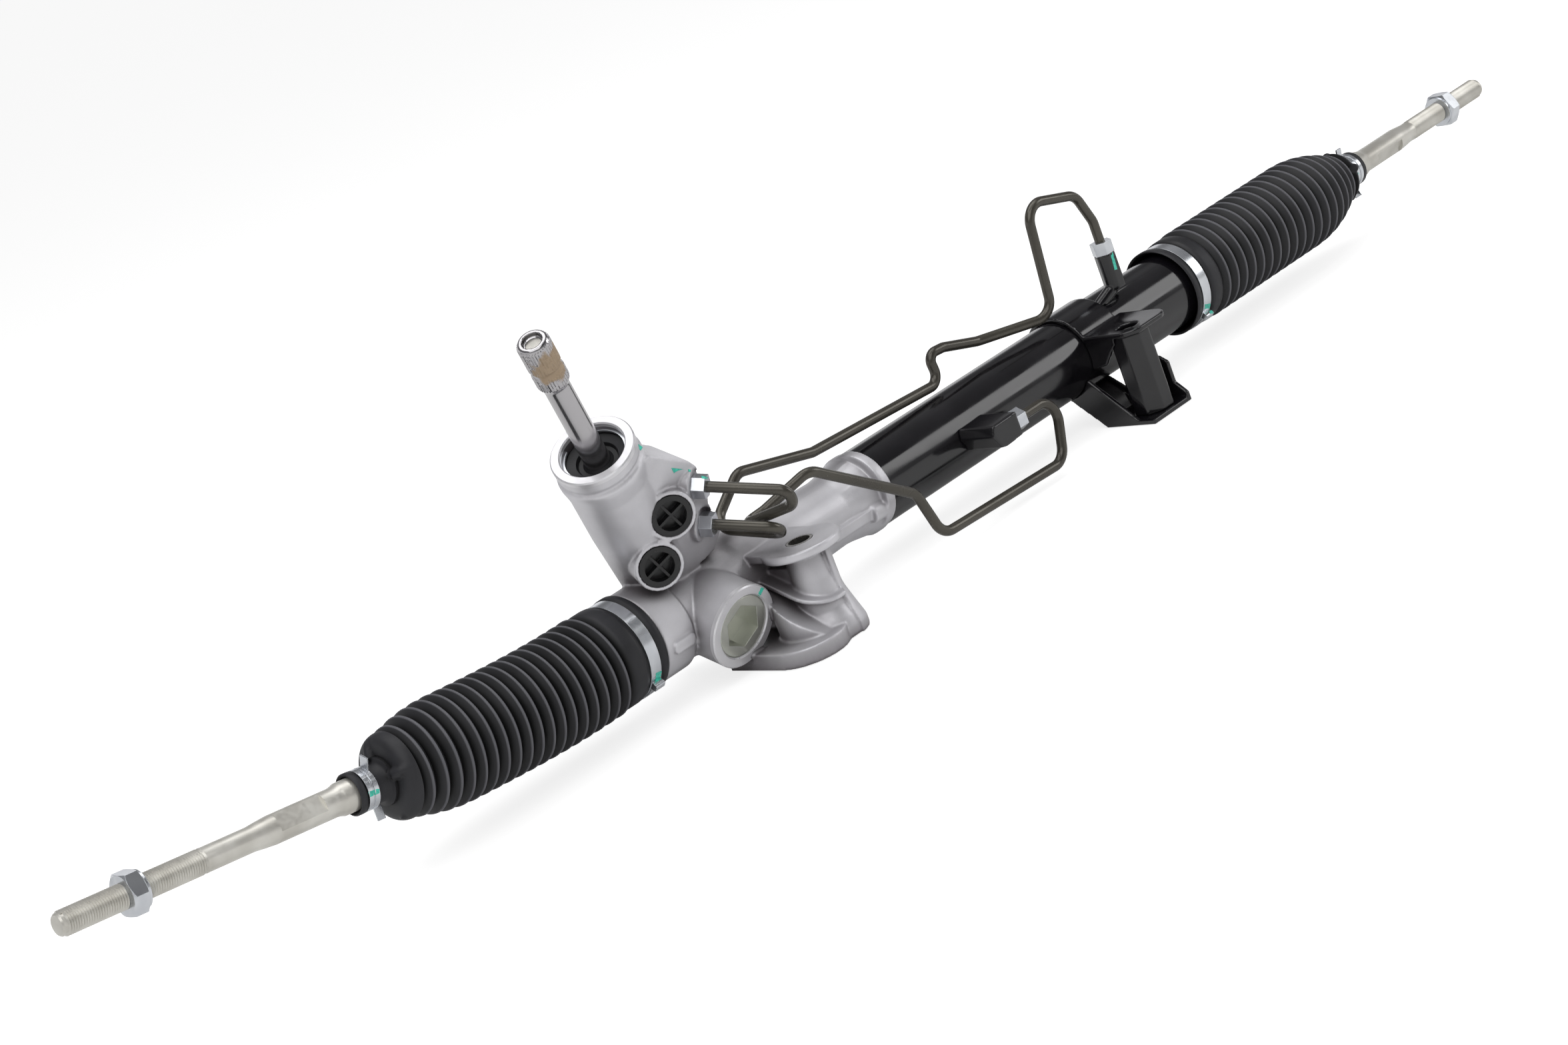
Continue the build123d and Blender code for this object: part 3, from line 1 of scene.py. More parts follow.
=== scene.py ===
"""Looks of a power steering rack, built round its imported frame.

All lengths are in metres unless a name says mm.
"""

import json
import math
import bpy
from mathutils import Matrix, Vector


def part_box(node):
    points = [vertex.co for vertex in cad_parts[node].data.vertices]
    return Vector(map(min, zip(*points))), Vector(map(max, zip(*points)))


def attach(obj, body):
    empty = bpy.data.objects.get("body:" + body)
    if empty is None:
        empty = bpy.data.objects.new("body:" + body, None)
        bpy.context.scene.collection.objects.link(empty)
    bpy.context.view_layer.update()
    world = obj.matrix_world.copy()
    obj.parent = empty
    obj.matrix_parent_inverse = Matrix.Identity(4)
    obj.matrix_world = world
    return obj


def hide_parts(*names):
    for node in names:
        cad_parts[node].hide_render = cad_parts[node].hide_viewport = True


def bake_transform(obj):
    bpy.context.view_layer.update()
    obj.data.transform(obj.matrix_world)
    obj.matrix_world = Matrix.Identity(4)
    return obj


bl_info = {
    "name": "Steering rack looks",
    "version": (1, 0, 0),
    "blender": (4, 5, 0),
    "location": "View3D > Sidebar > Steering rack",
    "description": "Builds the visible surfaces, materials, light and camera of a power steering rack",
    "category": "Object",
}

import bmesh
import bpy
from bpy.props import FloatProperty, FloatVectorProperty, IntProperty, PointerProperty
from mathutils import Matrix, Vector
from mathutils.bvhtree import BVHTree

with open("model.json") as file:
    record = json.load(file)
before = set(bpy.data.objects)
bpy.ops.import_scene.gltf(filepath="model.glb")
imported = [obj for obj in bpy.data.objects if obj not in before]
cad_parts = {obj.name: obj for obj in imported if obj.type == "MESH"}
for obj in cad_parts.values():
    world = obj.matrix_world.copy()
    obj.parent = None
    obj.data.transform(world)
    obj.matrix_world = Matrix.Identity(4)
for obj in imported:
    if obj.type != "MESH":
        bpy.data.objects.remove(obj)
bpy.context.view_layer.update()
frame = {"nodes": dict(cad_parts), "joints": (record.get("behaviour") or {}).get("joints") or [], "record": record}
NODES = frame["nodes"]
RECORD = frame["record"]
JOINTS = {joint["name"]: joint for joint in frame["joints"]}
SLOT_OF = {part["node"]: part["material_slot"] for part in RECORD["subparts"]}
MM = 0.001

# ---------------------------------------------------------------- places read from the frame
TUBE_LOW, TUBE_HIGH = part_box("cylinder_tube")
RACK_AXIS = (TUBE_LOW + TUBE_HIGH) / 2
LEFT_BOOT_START = Vector((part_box("left_boot")[1].x, RACK_AXIS.y, RACK_AXIS.z))
RIGHT_BOOT_START = Vector((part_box("right_boot")[0].x, RACK_AXIS.y, RACK_AXIS.z))
LEFT_BALL = Vector(JOINTS["left_pitch"]["pos_m"])
RIGHT_BALL = Vector(JOINTS["right_pitch"]["pos_m"])
SWEEP_AXIS = Vector(JOINTS["left_sweep"]["axis"])
LEFT_OUT = Vector((-SWEEP_AXIS.z, 0, SWEEP_AXIS.x))
RIGHT_OUT = Vector((1, 0, 0))
PINION_AXIS = Vector(JOINTS["pinion_spin"]["axis"])
PINION_FOOT = Vector(JOINTS["pinion_spin"]["pos_m"])
PLUG_CENTRE = (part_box("yoke_plug")[0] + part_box("yoke_plug")[1]) / 2
TO_YOKE = Vector((0, PLUG_CENTRE.y - RACK_AXIS.y, PLUG_CENTRE.z - RACK_AXIS.z)).normalized()
YOKE_FOOT = Vector((PLUG_CENTRE.x, RACK_AXIS.y, RACK_AXIS.z))

# ---------------------------------------------------------------- camera
IMAGE_SIZE = (2352, 1568)       # in pixels
FOCAL_PX = 5136.5
SENSOR_MM = 36.0
EYE = Vector((-1.1832, -1.4438, 0.5822))
VIEW_RIGHT = Vector((0.66369, -0.66320, -0.34595))
VIEW_DOWN = Vector((-0.43322, 0.03623, -0.90056))
VIEW_FORWARD = Vector((0.60978, 0.74757, -0.26326))


# ---------------------------------------------------------------- small helpers
def linear(hex_colour):
    """sRGB hex text to a linear colour with alpha."""
    parts = [int(hex_colour[i:i + 2], 16) / 255 for i in (1, 3, 5)]
    return (*[c / 12.92 if c <= 0.04045 else ((c + 0.055) / 1.055) ** 2.4 for c in parts], 1.0)


def feed(tree, node, links):
    """Give a node's inputs their values, or link them to other nodes' outputs."""
    for name, value in links.items():
        if isinstance(value, bpy.types.NodeSocket):
            tree.links.new(value, node.inputs[name])
        else:
            node.inputs[name].default_value = value


def add(tree, kind, links=None, **settings):
    """Add a node to a tree, with its settings and its inputs, which are values or other nodes' outputs."""
    made = tree.nodes.new(kind)
    for name, value in settings.items():
        setattr(made, name, value)
    feed(tree, made, links or {})
    return made


def empty_tree(owner):
    """The node tree of a material or a world, with nothing in it."""
    owner.use_nodes = True
    owner.node_tree.nodes.clear()
    return owner.node_tree


def new_material(name):
    """A material with its node tree, its Object coordinates in millimetres and its surface shader."""
    material = bpy.data.materials.new(name)
    tree = empty_tree(material)
    place = add(tree, "ShaderNodeTexCoord")
    in_mm = add(tree, "ShaderNodeMapping", {"Vector": place.outputs["Object"], "Scale": (1 / MM,) * 3})
    shader = add(tree, "ShaderNodeBsdfPrincipled")
    add(tree, "ShaderNodeOutputMaterial", {"Surface": shader.outputs["BSDF"]})
    return material, tree, in_mm.outputs["Vector"], shader


def grain(tree, where, size_mm, detail=3.0, roughness=0.5):
    """Noise whose lumps are about size_mm across."""
    return add(tree, "ShaderNodeTexNoise", {"Vector": where, "Scale": 1 / size_mm, "Detail": detail,
                                            "Roughness": roughness}).outputs["Fac"]


def between(tree, factor, low, high, from_low=0.35, from_high=0.65):
    """A value that goes from low to high as factor crosses its middle."""
    return add(tree, "ShaderNodeMapRange", {"Value": factor, "From Min": from_low, "From Max": from_high,
                                            "To Min": low, "To Max": high}).outputs["Result"]


def blend_colours(tree, factor, low, high):
    """A colour between two others, each given as hex text or as a node's output."""
    low, high = (linear(colour) if isinstance(colour, str) else colour for colour in (low, high))
    return add(tree, "ShaderNodeMix", {0: factor, 6: low, 7: high}, data_type="RGBA").outputs[2]


def cloudy(tree, clouds, low, high):
    """A colour that drifts between two hex colours."""
    return blend_colours(tree, between(tree, clouds, 0, 1), low, high)


def openness(tree, reach_mm):
    """1 on a free surface, down to 0 in a corner that is closed within reach_mm."""
    return add(tree, "ShaderNodeAmbientOcclusion", {"Distance": reach_mm * MM}, samples=8).outputs["AO"]


def rounded_edges(tree, radius_mm):
    """Normals that make sharp edges look rounded."""
    return add(tree, "ShaderNodeBevel", {"Radius": radius_mm * MM}, samples=4).outputs["Normal"]


def bumped(tree, height, distance_mm, strength, edge_mm=0.0):
    """Normals of a bump by a height, over edges that look rounded by edge_mm."""
    links = {"Height": height, "Distance": distance_mm * MM, "Strength": strength}
    if edge_mm:
        links["Normal"] = rounded_edges(tree, edge_mm)
    return add(tree, "ShaderNodeBump", links).outputs["Normal"]


# ---------------------------------------------------------------- materials
# Each shader gets its inputs in one call. Sizes of grain are in millimetres.
WAX_CENTRE = PINION_FOOT + PINION_AXIS * 0.2 - VIEW_FORWARD * 0.008 + VIEW_RIGHT * 0.005
WAX_REACH_MM = (17.5, 20)       # full wax and bare steel, as distances from that centre
WAX_RAGGED_MM = 16.0            # how far noise pulls the smear's edge in


def cast_aluminium():
    """Sand-cast aluminium, shot-blasted: pale with a soft sheen and fine pits, with painted shade darkening the
    corners.
    """
    material, tree, where, shader = new_material("Cast_aluminium_blasted")
    pits = grain(tree, where, 0.9, 5, 0.65)
    unshaded_tone = cloudy(tree, grain(tree, where, 38, 4), "#C6C5C9", "#D6D5D9")
    # Painted shade: the colour darkens to #625D60 in corners and recesses that are closed within 26 mm.
    free = between(tree, openness(tree, 26), 0, 1, 0.35, 0.95)
    feed(tree, shader, {"Base Color": blend_colours(tree, free, "#625D60", unshaded_tone), "Metallic": 0.5,
                        "Roughness": between(tree, pits, 0.34, 0.5),
                        "Normal": bumped(tree, pits, 0.12, 0.5)})
    return material


def machined_aluminium():
    """Turned aluminium: bright, with fine marks left by the tool."""
    material, tree, where, shader = new_material("Machined_aluminium")
    feed(tree, shader, {"Base Color": linear("#DCDBDE"), "Metallic": 0.6,
                        "Roughness": between(tree, grain(tree, where, 4, 3), 0.3, 0.42),
                        "Normal": bumped(tree, grain(tree, where, 0.6), 0.01, 0.3)})
    return material


def plated_plug():
    """Zinc-flake coated plug: satin, with a green-grey cast."""
    material, tree, where, shader = new_material("Zinc_flake_plug")
    feed(tree, shader, {"Base Color": linear("#CFD1C7"), "Metallic": 0.75, "Roughness": 0.26,
                        "Normal": bumped(tree, grain(tree, where, 0.8), 0.01, 0.2, 0.5)})
    return material


def black_coat():
    """Black electro-dipped coat on steel: glossy, slightly uneven like orange peel."""
    material, tree, where, shader = new_material("Black_dip_coat")
    patches = grain(tree, where, 24, 3)
    feed(tree, shader, {"Base Color": cloudy(tree, patches, "#0D0C0F", "#141316"),
                        "Roughness": between(tree, patches, 0.1, 0.16), "Specular IOR Level": 0.6,
                        "Normal": bumped(tree, grain(tree, where, 2.6, 2), 0.02, 0.25, 0.6)})
    return material


def zinc_plate():
    """Bright zinc plating: blue-white metal with faint cloudy spangle."""
    material, tree, where, shader = new_material("Bright_zinc_plate")
    feed(tree, shader, {"Base Color": cloudy(tree, grain(tree, where, 9, 2), "#C9CCD1", "#D6D9DD"),
                        "Metallic": 0.92, "Roughness": 0.22, "Normal": rounded_edges(tree, 0.4)})
    return material


def coated_pipe():
    """Steel pipe with a dark bronze-grey coat: glossy, with long highlights."""
    material, tree, where, shader = new_material("Bronze_grey_pipe_coat")
    feed(tree, shader, {"Base Color": cloudy(tree, grain(tree, where, 40, 2), "#47443E", "#514E47"),
                        "Metallic": 0.5, "Roughness": between(tree, grain(tree, where, 9, 3), 0.2, 0.28)})
    return material


def plated_rod():
    """Zinc-nickel plated bar: warm pale grey with a satin sheen."""
    material, tree, where, shader = new_material("Zinc_nickel_plated_bar")
    feed(tree, shader, {"Base Color": cloudy(tree, grain(tree, where, 20, 4), "#BEBBB3", "#D5D3CC"),
                        "Metallic": 0.6, "Roughness": between(tree, grain(tree, where, 2.5, 3), 0.28, 0.4),
                        "Normal": bumped(tree, grain(tree, where, 0.9, 3), 0.012, 0.3)})
    return material


def machined_steel():
    """Machined steel, lightly oiled: mid grey with a satin sheen and small stains."""
    material, tree, where, shader = new_material("Machined_steel_oiled")
    feed(tree, shader, {"Base Color": cloudy(tree, grain(tree, where, 12, 4), "#86847F", "#A5A39E"),
                        "Metallic": 0.9, "Roughness": between(tree, grain(tree, where, 3, 3), 0.22, 0.36)})
    return material


def waxed_shaft():
    """Ground steel shaft: mirror-like, with a smear of brown preserving wax on its splines."""
    material, tree, where, shader = new_material("Ground_steel_waxed")
    off = add(tree, "ShaderNodeVectorMath", {0: where, 1: WAX_CENTRE / MM}, operation="DISTANCE")
    ragged = add(tree, "ShaderNodeMath", {0: grain(tree, where, 6, 4), 1: WAX_RAGGED_MM},
                 operation="MULTIPLY")
    edge = add(tree, "ShaderNodeMath", {0: off.outputs["Value"], 1: ragged.outputs[0]}, operation="ADD")
    wax = between(tree, edge.outputs[0], 1, 0, *WAX_REACH_MM)
    feed(tree, shader, {"Base Color": blend_colours(tree, wax, "#B4B2B4", "#A08C74"),
                        "Metallic": between(tree, wax, 0.95, 0.15, 0, 1),
                        "Roughness": between(tree, wax, 0.17, 0.45, 0, 1)})
    return material


def moulded_rubber():
    """Moulded black rubber: charcoal and matt, with painted shade darkening the roots and a painted highlight
    along the crests.
    """
    material, tree, where, shader = new_material("Moulded_rubber")
    bloom = grain(tree, where, 30, 4)
    # Painted shade: near-black #09090A in the roots between pleats, by how closed they are within 6 mm.
    flank = between(tree, openness(tree, 6), 0, 1, 0.5, 1.0)
    shaded = blend_colours(tree, flank, "#09090A", cloudy(tree, bloom, "#1C1C1F", "#26262A"))
    # Painted highlight: the flat crest band of each pleat turns pale #56565B.
    crest_highlight = add(tree, "ShaderNodeAttribute", attribute_name="painted_crest_highlight").outputs["Fac"]
    feed(tree, shader, {"Base Color": blend_colours(tree, crest_highlight, shaded, "#56565B"),
                        "Roughness": between(tree, bloom, 0.48, 0.56), "Specular IOR Level": 0.4,
                        "Normal": bumped(tree, grain(tree, where, 0.9, 3), 0.02, 0.25)})
    return material


def moulded_plastic():
    """Injection-moulded black polyethylene: soft, slightly waxy shine."""
    material, tree, where, shader = new_material("Black_polyethylene")
    feed(tree, shader, {"Base Color": linear("#101011"),
                        "Roughness": between(tree, grain(tree, where, 6, 3), 0.26, 0.36),
                        "Normal": bumped(tree, grain(tree, where, 1.4), 0.02, 0.3, 0.4)})
    return material


def filled_polymer():
    """Bearing polymer for seats and rings: ivory, with a low sheen."""
    material, tree, where, shader = new_material("Bearing_polymer")
    feed(tree, shader, {"Base Color": linear("#B9B29C"),
                        "Roughness": between(tree, grain(tree, where, 4, 3), 0.38, 0.5)})
    return material


def marking_paint():
    """Brushed teal inspection paint: thin, glossy, with streaks where it runs out."""
    material, tree, where, shader = new_material("Teal_marking_paint")
    streaks = grain(tree, where, 1.6, 4)
    feed(tree, shader, {"Base Color": cloudy(tree, streaks, "#2FA993", "#49CBB4"), "Roughness": 0.35,
                        "Normal": bumped(tree, streaks, 0.06, 0.5)})
    return material


# The record's material slots and the function that makes each one's material
MATERIALS = {
    "housing_casting": cast_aluminium, "sleeve_steel": machined_steel, "yoke_alloy": machined_aluminium,
    "spring_steel": machined_steel, "plug_alloy": plated_plug, "bearing_steel": machined_steel,
    "cap_steel": zinc_plate, "seal_rubber": moulded_rubber, "port_plug_plastic": moulded_plastic,
    "tube_black": black_coat, "port_black": black_coat, "bulkhead_alloy": machined_aluminium,
    "pipe_steel": coated_pipe, "zinc_nuts": zinc_plate, "bracket_black": black_coat,
    "rack_steel": machined_steel, "piston_steel": machined_steel, "ring_plastic": filled_polymer,
    "pinion_steel": machined_steel, "valve_steel": machined_steel, "shaft_steel": waxed_shaft,
    "socket_steel": machined_steel, "seat_plastic": filled_polymer, "rod_steel": plated_rod,
    "boot_rubber": moulded_rubber, "clamp_steel": zinc_plate,
}
MADE = {}


def material_for(maker):
    """The one material that a maker function gives, made once."""
    if maker.__name__ not in MADE:
        MADE[maker.__name__] = maker()
    return MADE[maker.__name__]


class RACK_OT_finishes(bpy.types.Operator):
    """Materials of the CAD nodes that are shown as they are"""
    bl_idname = "rack.finishes"
    bl_label = "Finishes"

    def execute(self, context):
        for name, node in NODES.items():
            material = material_for(MATERIALS[SLOT_OF[name]])
            node.data.materials.clear()
            node.data.materials.append(material)
        return {"FINISHED"}


# ---------------------------------------------------------------- mesh helpers
def new_piece(name, mesh, material):
    """A linked object at the origin with one material."""
    piece = bpy.data.objects.new(name, mesh)
    bpy.context.scene.collection.objects.link(piece)
    mesh.materials.clear()
    mesh.materials.append(material)
    return piece


def bake_modifiers(piece):
    """Turn a piece's evaluated shape into its plain mesh."""
    graph = bpy.context.evaluated_depsgraph_get()
    material = piece.data.materials[0]
    made = bpy.data.meshes.new_from_object(piece.evaluated_get(graph))
    piece.modifiers.clear()
    piece.data = made
    made.materials.clear()
    made.materials.append(material)


def smooth_by_angle(mesh, degrees):
    """Smooth shading, with sharp edges where faces meet at more than an angle."""
    mesh.shade_smooth()
    mesh.set_sharp_from_angle(angle=math.radians(degrees))


def merged_copy(node):
    """A merged copy of a CAD node's mesh."""
    mesh = NODES[node].data.copy()
    shape = bmesh.new()
    shape.from_mesh(mesh)
    bmesh.ops.remove_doubles(shape, verts=shape.verts, dist=2e-6)
    shape.to_mesh(mesh)
    shape.free()
    if "custom_normal" in mesh.attributes:
        mesh.attributes.remove(mesh.attributes["custom_normal"])
    return mesh


def stand_in(piece, node, body):
    """The piece shows a CAD node, on its body."""
    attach(piece, body)
    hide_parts(node)


def smooth_node(node, body, degrees=32):
    """Show a CAD node through a merged copy with smooth shading."""
    mesh = merged_copy(node)
    smooth_by_angle(mesh, degrees)
    piece = new_piece(node + "_surface", mesh, material_for(MATERIALS[SLOT_OF[node]]))
    stand_in(piece, node, body)
    return piece


def turned_mesh(name, profile, place):
    """Closed lathe mesh: profile is (along, radius) pairs, and place puts its axis, which is Z."""
    sides = 96
    shape = bmesh.new()
    rings = []
    for along, radius in profile:
        ring = []
        for index in range(sides):
            turn = 2 * math.pi * index / sides
            point = Vector((radius * math.cos(turn), radius * math.sin(turn), along))
            ring.append(shape.verts.new(place @ point))
        rings.append(ring)
    for lower, upper in zip(rings, rings[1:] + rings[:1]):
        for index in range(sides):
            following = (index + 1) % sides
            shape.faces.new((lower[index], lower[following], upper[following], upper[index]))
    bmesh.ops.recalc_face_normals(shape, faces=shape.faces)
    mesh = bpy.data.meshes.new(name)
    shape.to_mesh(mesh)
    shape.free()
    return mesh


def axis_place(origin, direction):
    """Matrix whose Z runs along a direction from an origin, with X as near +Y as it can be."""
    z = Vector(direction).normalized()
    x = Vector((0, 1, 0))
    x = (x - z * x.dot(z)).normalized()
    return Matrix.Translation(origin) @ Matrix((x, z.cross(x), z)).transposed().to_4x4()


def modifier_input(modifier, name, value):
    """Set a Geometry Nodes modifier's input by its socket's identifier."""
    for item in modifier.node_group.interface.items_tree:
        if item.item_type == "SOCKET" and item.in_out == "INPUT" and item.name == name:
            modifier[item.identifier] = value
            return
    raise RuntimeError("no input named " + name)


def run_tree(piece, group, values):
    """Put a Geometry Nodes tree on a piece, set its inputs, and keep the result as a plain mesh."""
    modifier = piece.modifiers.new(group.name, "NODES")
    modifier.node_group = group
    for name, value in values.items():
        modifier_input(modifier, name, value)
    bake_modifiers(piece)


def new_tree(name, sockets):
    """A Geometry Nodes group with a geometry input and output, named inputs and a material."""
    tree = bpy.data.node_groups.new(name, "GeometryNodeTree")
    tree.interface.new_socket("Geometry", in_out="INPUT", socket_type="NodeSocketGeometry")
    for socket, (kind, default) in sockets.items():
        made = tree.interface.new_socket(socket, in_out="INPUT", socket_type=kind)
        made.default_value = default
    tree.interface.new_socket("Material", in_out="INPUT", socket_type="NodeSocketMaterial")
    tree.interface.new_socket("Geometry", in_out="OUTPUT", socket_type="NodeSocketGeometry")
    return tree, tree.nodes.new("NodeGroupInput").outputs


def end_tree(tree, swept, material):
    """Lead a swept mesh out of a group, with its material."""
    real = add(tree, "GeometryNodeRealizeInstances", {"Geometry": swept.outputs["Mesh"]})
    coloured = add(tree, "GeometryNodeSetMaterial", {"Geometry": real.outputs[0], "Material": material})
    add(tree, "NodeGroupOutput", {"Geometry": coloured.outputs["Geometry"]})


# ---------------------------------------------------------------- geometry node trees
def revolved_path_tree():
    """Sweeps a round section along a path whose points carry their own radius."""
    tree, given = new_tree("Revolved_path", {"Sides": ("NodeSocketInt", 96)})
    radius = add(tree, "GeometryNodeInputRadius")
    section = add(tree, "GeometryNodeCurvePrimitiveCircle", {"Resolution": given["Sides"], "Radius": 1.0})
    upright = add(tree, "GeometryNodeSetCurveNormal", {"Curve": given["Geometry"]}, mode="Z_UP")
    swept = add(tree, "GeometryNodeCurveToMesh", {
        "Curve": upright.outputs["Curve"], "Profile Curve": section.outputs["Curve"],
        "Scale": radius.outputs["Radius"], "Fill Caps": False})
    end_tree(tree, swept, given["Material"])
    return tree


def thread_tree():
    """A helical ridge round the Z axis, of square section set on its corner."""
    tree, given = new_tree("Thread_ridge", {
        "Pitch": ("NodeSocketFloat", 0.0015), "Root radius": ("NodeSocketFloat", 0.0061),
        "Depth": ("NodeSocketFloat", 0.0009), "Length": ("NodeSocketFloat", 0.083),
        "Steps per turn": ("NodeSocketInt", 36)})
    turns = add(tree, "ShaderNodeMath", {0: given["Length"], 1: given["Pitch"]}, operation="DIVIDE")
    spiral = add(tree, "GeometryNodeCurveSpiral", {
        "Resolution": given["Steps per turn"], "Rotations": turns.outputs[0],
        "Start Radius": given["Root radius"], "End Radius": given["Root radius"], "Height": given["Length"]})
    upright = add(tree, "GeometryNodeSetCurveNormal", {"Curve": spiral.outputs["Curve"]}, mode="Z_UP")
    section = add(tree, "GeometryNodeCurvePrimitiveCircle", {"Resolution": 4, "Radius": given["Depth"]})
    swept = add(tree, "GeometryNodeCurveToMesh", {
        "Curve": upright.outputs["Curve"], "Profile Curve": section.outputs["Curve"], "Fill Caps": True})
    end_tree(tree, swept, given["Material"])
    return tree


# ---------------------------------------------------------------- settings
def distance(name, description, default):
    """A property that holds a length."""
    return FloatProperty(name=name, description=description, default=default, unit="LENGTH")


class BootSettings(bpy.types.PropertyGroup):
    crest: distance("Crest radius", "Outer radius of a pleat", 0.031)
    depth: distance("Pleat depth", "From a crest to the root beside it", 0.0048)
    sleeve: distance("Sleeve", "Plain length at the large end, up to the first root", 0.029)
    wall: distance("Wall", "Thickness of the rubber", 0.0014)
    pleats: IntProperty(name="Pleats", description="Number of pleats on each boot", default=18, min=3)
    neck: distance("Neck radius", "Outer radius of the small end", 0.0105)
    left_end: distance("Left end", "Small end of the left boot, from its ball centre", 0.106)
    right_end: distance("Right end", "Small end of the right boot, from its ball centre", 0.132)


class RodSettings(bpy.types.PropertyGroup):
    thread_start: distance("Thread start", "Start of the thread, from the ball centre", 0.202)
    thread_end: distance("Thread end", "End of the thread, from the ball centre", 0.286)
    pitch: distance("Thread pitch", "Distance between two turns of the thread", 0.0015)
    radius: distance("Thread radius", "Outer radius of the thread", 0.007)


class CastingSettings(bpy.types.PropertyGroup):
    grid: distance("Grid", "Face size before smoothing", 0.0008)
    passes: IntProperty(name="Passes", description="Smoothing passes, which round the corners",
                        default=3, min=0)
    triangles: IntProperty(name="Triangles", description="Faces left on the casting", default=190000)
    tower_top: distance("Tower top", "Mouth of the valve housing, along the pinion's axis", 0.130)
    mouth_bore: distance("Mouth bore", "Bore at the mouth", 0.019)
    mouth_radius: distance("Mouth radius", "Outside of the mouth", 0.0247)
    yoke_face: distance("Yoke face", "Face of the yoke boss, from the rack's axis", 0.041)
    yoke_bore: distance("Yoke bore", "Bore of the yoke boss", 0.019)
    yoke_radius: distance("Yoke boss radius", "Outside of the yoke boss", 0.025)


class LookSettings(bpy.types.PropertyGroup):
    floor: FloatVectorProperty(name="Floor colour", description="Colour of the floor", subtype="COLOR",
                               size=3, default=(0.8, 0.8, 0.8), min=0, max=1)


# ---------------------------------------------------------------- boots
SWEEP_SIDES = 96
PLEAT_STEPS = 16                # rings in a pleat
DOME_STEPS = 12
CREST_SHARE = 7 / 8             # of the way up a flank, where the flat crest begins
CUFF = (                        # (along, radius) of the large end: lip, seat of the band clamp, bead
    (0.0, 0.0292), (0.0006, 0.0297), (0.0046, 0.0297), (0.0054, 0.0285), (0.0156, 0.0285),
    (0.0164, 0.0299), (0.019, 0.0302))
SLEEVE_END = ((-0.004, 0.0302), (-0.0016, 0.0294))      # (along from the first root, radius)
DOME_GAP = 0.0016               # from the last pleat to the dome
DOME_DROP = 0.0012              # the dome starts this far under the last crest
DOME_POWER = 0.6                # below 1 makes the dome fuller
HUB_RISE = 0.0032               # foot of the dome, over the neck
NECK_RING = ((0.0018, HUB_RISE), (0.0024, 0.0012), (0.0036, 0.0))    # (from the dome's foot, over the neck)
END_LIP = (                     # (along from the small end, rise over the neck)
    (-0.0048, 0.0), (-0.004, 0.0014), (-0.0008, 0.0014), (0.0, 0.0006))
RIB_FOOT_R = 0.0135             # inner end of the dome's ribs
RIB_REACH = 0.0105              # from that end to the outer one
RIB_TURN = math.radians(18)
RIB_LIFT = 0.0034               # along the boot
RIB_SPREAD = 0.3                # outward, as a share of that lift
RIB_PAST_DOME = 0.003           # the ribs run this far past the dome
RIB_WIDTHS = (0.0034, 0.0014)   # half widths at the inner and outer ends
LEFT_RISE_START = 0.038         # the left boot is level up to here
LEFT_END_SLOPE = 0.1            # and its curve ends at this slope
# way: along X from the large end. cap: from the last pleat to the small end. dome: reach of the dome.
# small_pleats: how many shrink, down to last_crest. bends: where each of its pieces ends, but the last.
BOOTS = {
    "left": {"way": -1, "cap": 0.032, "dome": 0.008, "small_pleats": 4, "last_crest": 0.026,
             "bends": (0.138, 0.153, 0.185)},
    "right": {"way": 1, "cap": 0.021, "dome": 0.003, "small_pleats": 5, "last_crest": 0.019,
              "bends": (0.138, 0.151, 0.187)},
}


def boot_settings():
    """The settings that the panel's scene holds for both boots."""
    return bpy.context.scene.rack_boots


def pleat_radius(settings, phase, boot):
    """Radius and painted crest highlight, where phase counts pleats: near-straight flanks up to a narrow flat
    crest.
    """
    taper = max(0.0, phase + 0.5 + boot["small_pleats"] - settings.pleats) / boot["small_pleats"]
    crest = settings.crest - (settings.crest - boot["last_crest"]) * min(1.0, taper) ** 2
    up = min(1.0, (1 - abs(2 * (phase % 1) - 1)) / CREST_SHARE)
    return crest - settings.depth * (1 - up ** 0.8), float(up == 1)


def boot_profile(length, boot):
    """(along, radius, painted crest highlight) from the large end to the small end."""
    settings = boot_settings()
    start = settings.sleeve
    end = length - boot["cap"]
    profile = [*CUFF, *((start + along, radius) for along, radius in SLEEVE_END)]
    for index in range(settings.pleats * PLEAT_STEPS + 1):
        phase = index / PLEAT_STEPS
        along = start + (end - start) * phase / settings.pleats
        profile.append((along, *pleat_radius(settings, phase, boot)))
    neck = settings.neck
    hub = neck + HUB_RISE
    shoulder = boot["last_crest"] - DOME_DROP
    for index in range(DOME_STEPS + 1):
        turn = math.pi / 2 * index / DOME_STEPS
        along = end + DOME_GAP + boot["dome"] * math.sin(turn)
        profile.append((along, hub + (shoulder - hub) * math.cos(turn) ** DOME_POWER))
    foot = end + DOME_GAP + boot["dome"]
    profile += [(foot + along, neck + rise) for along, rise in NECK_RING]
    profile += [(length + along, neck + rise) for along, rise in END_LIP]
    return [ring if len(ring) == 3 else (*ring, 0.0) for ring in profile]


def straight_line(along):
    """Height of the right boot's centre line over the rack axis."""
    return 0.0


def left_line(along):
    """Height of the left boot's centre line: level, a soft curve, then the tie rod's line."""
    slope = LEFT_OUT.z / -LEFT_OUT.x
    ball = LEFT_BOOT_START.x - LEFT_BALL.x
    start = LEFT_RISE_START
    end = ball + boot_settings().left_end - BOOTS["left"]["cap"]
    if along <= start:
        return 0.0
    if along >= end:
        return slope * (along - ball)
    share = (along - start) / (end - start)
    rise = slope * (end - ball)
    curve_in = LEFT_END_SLOPE * (end - start) * share * share * (share - 1)
    return rise * share * share * (3 - 2 * share) + curve_in


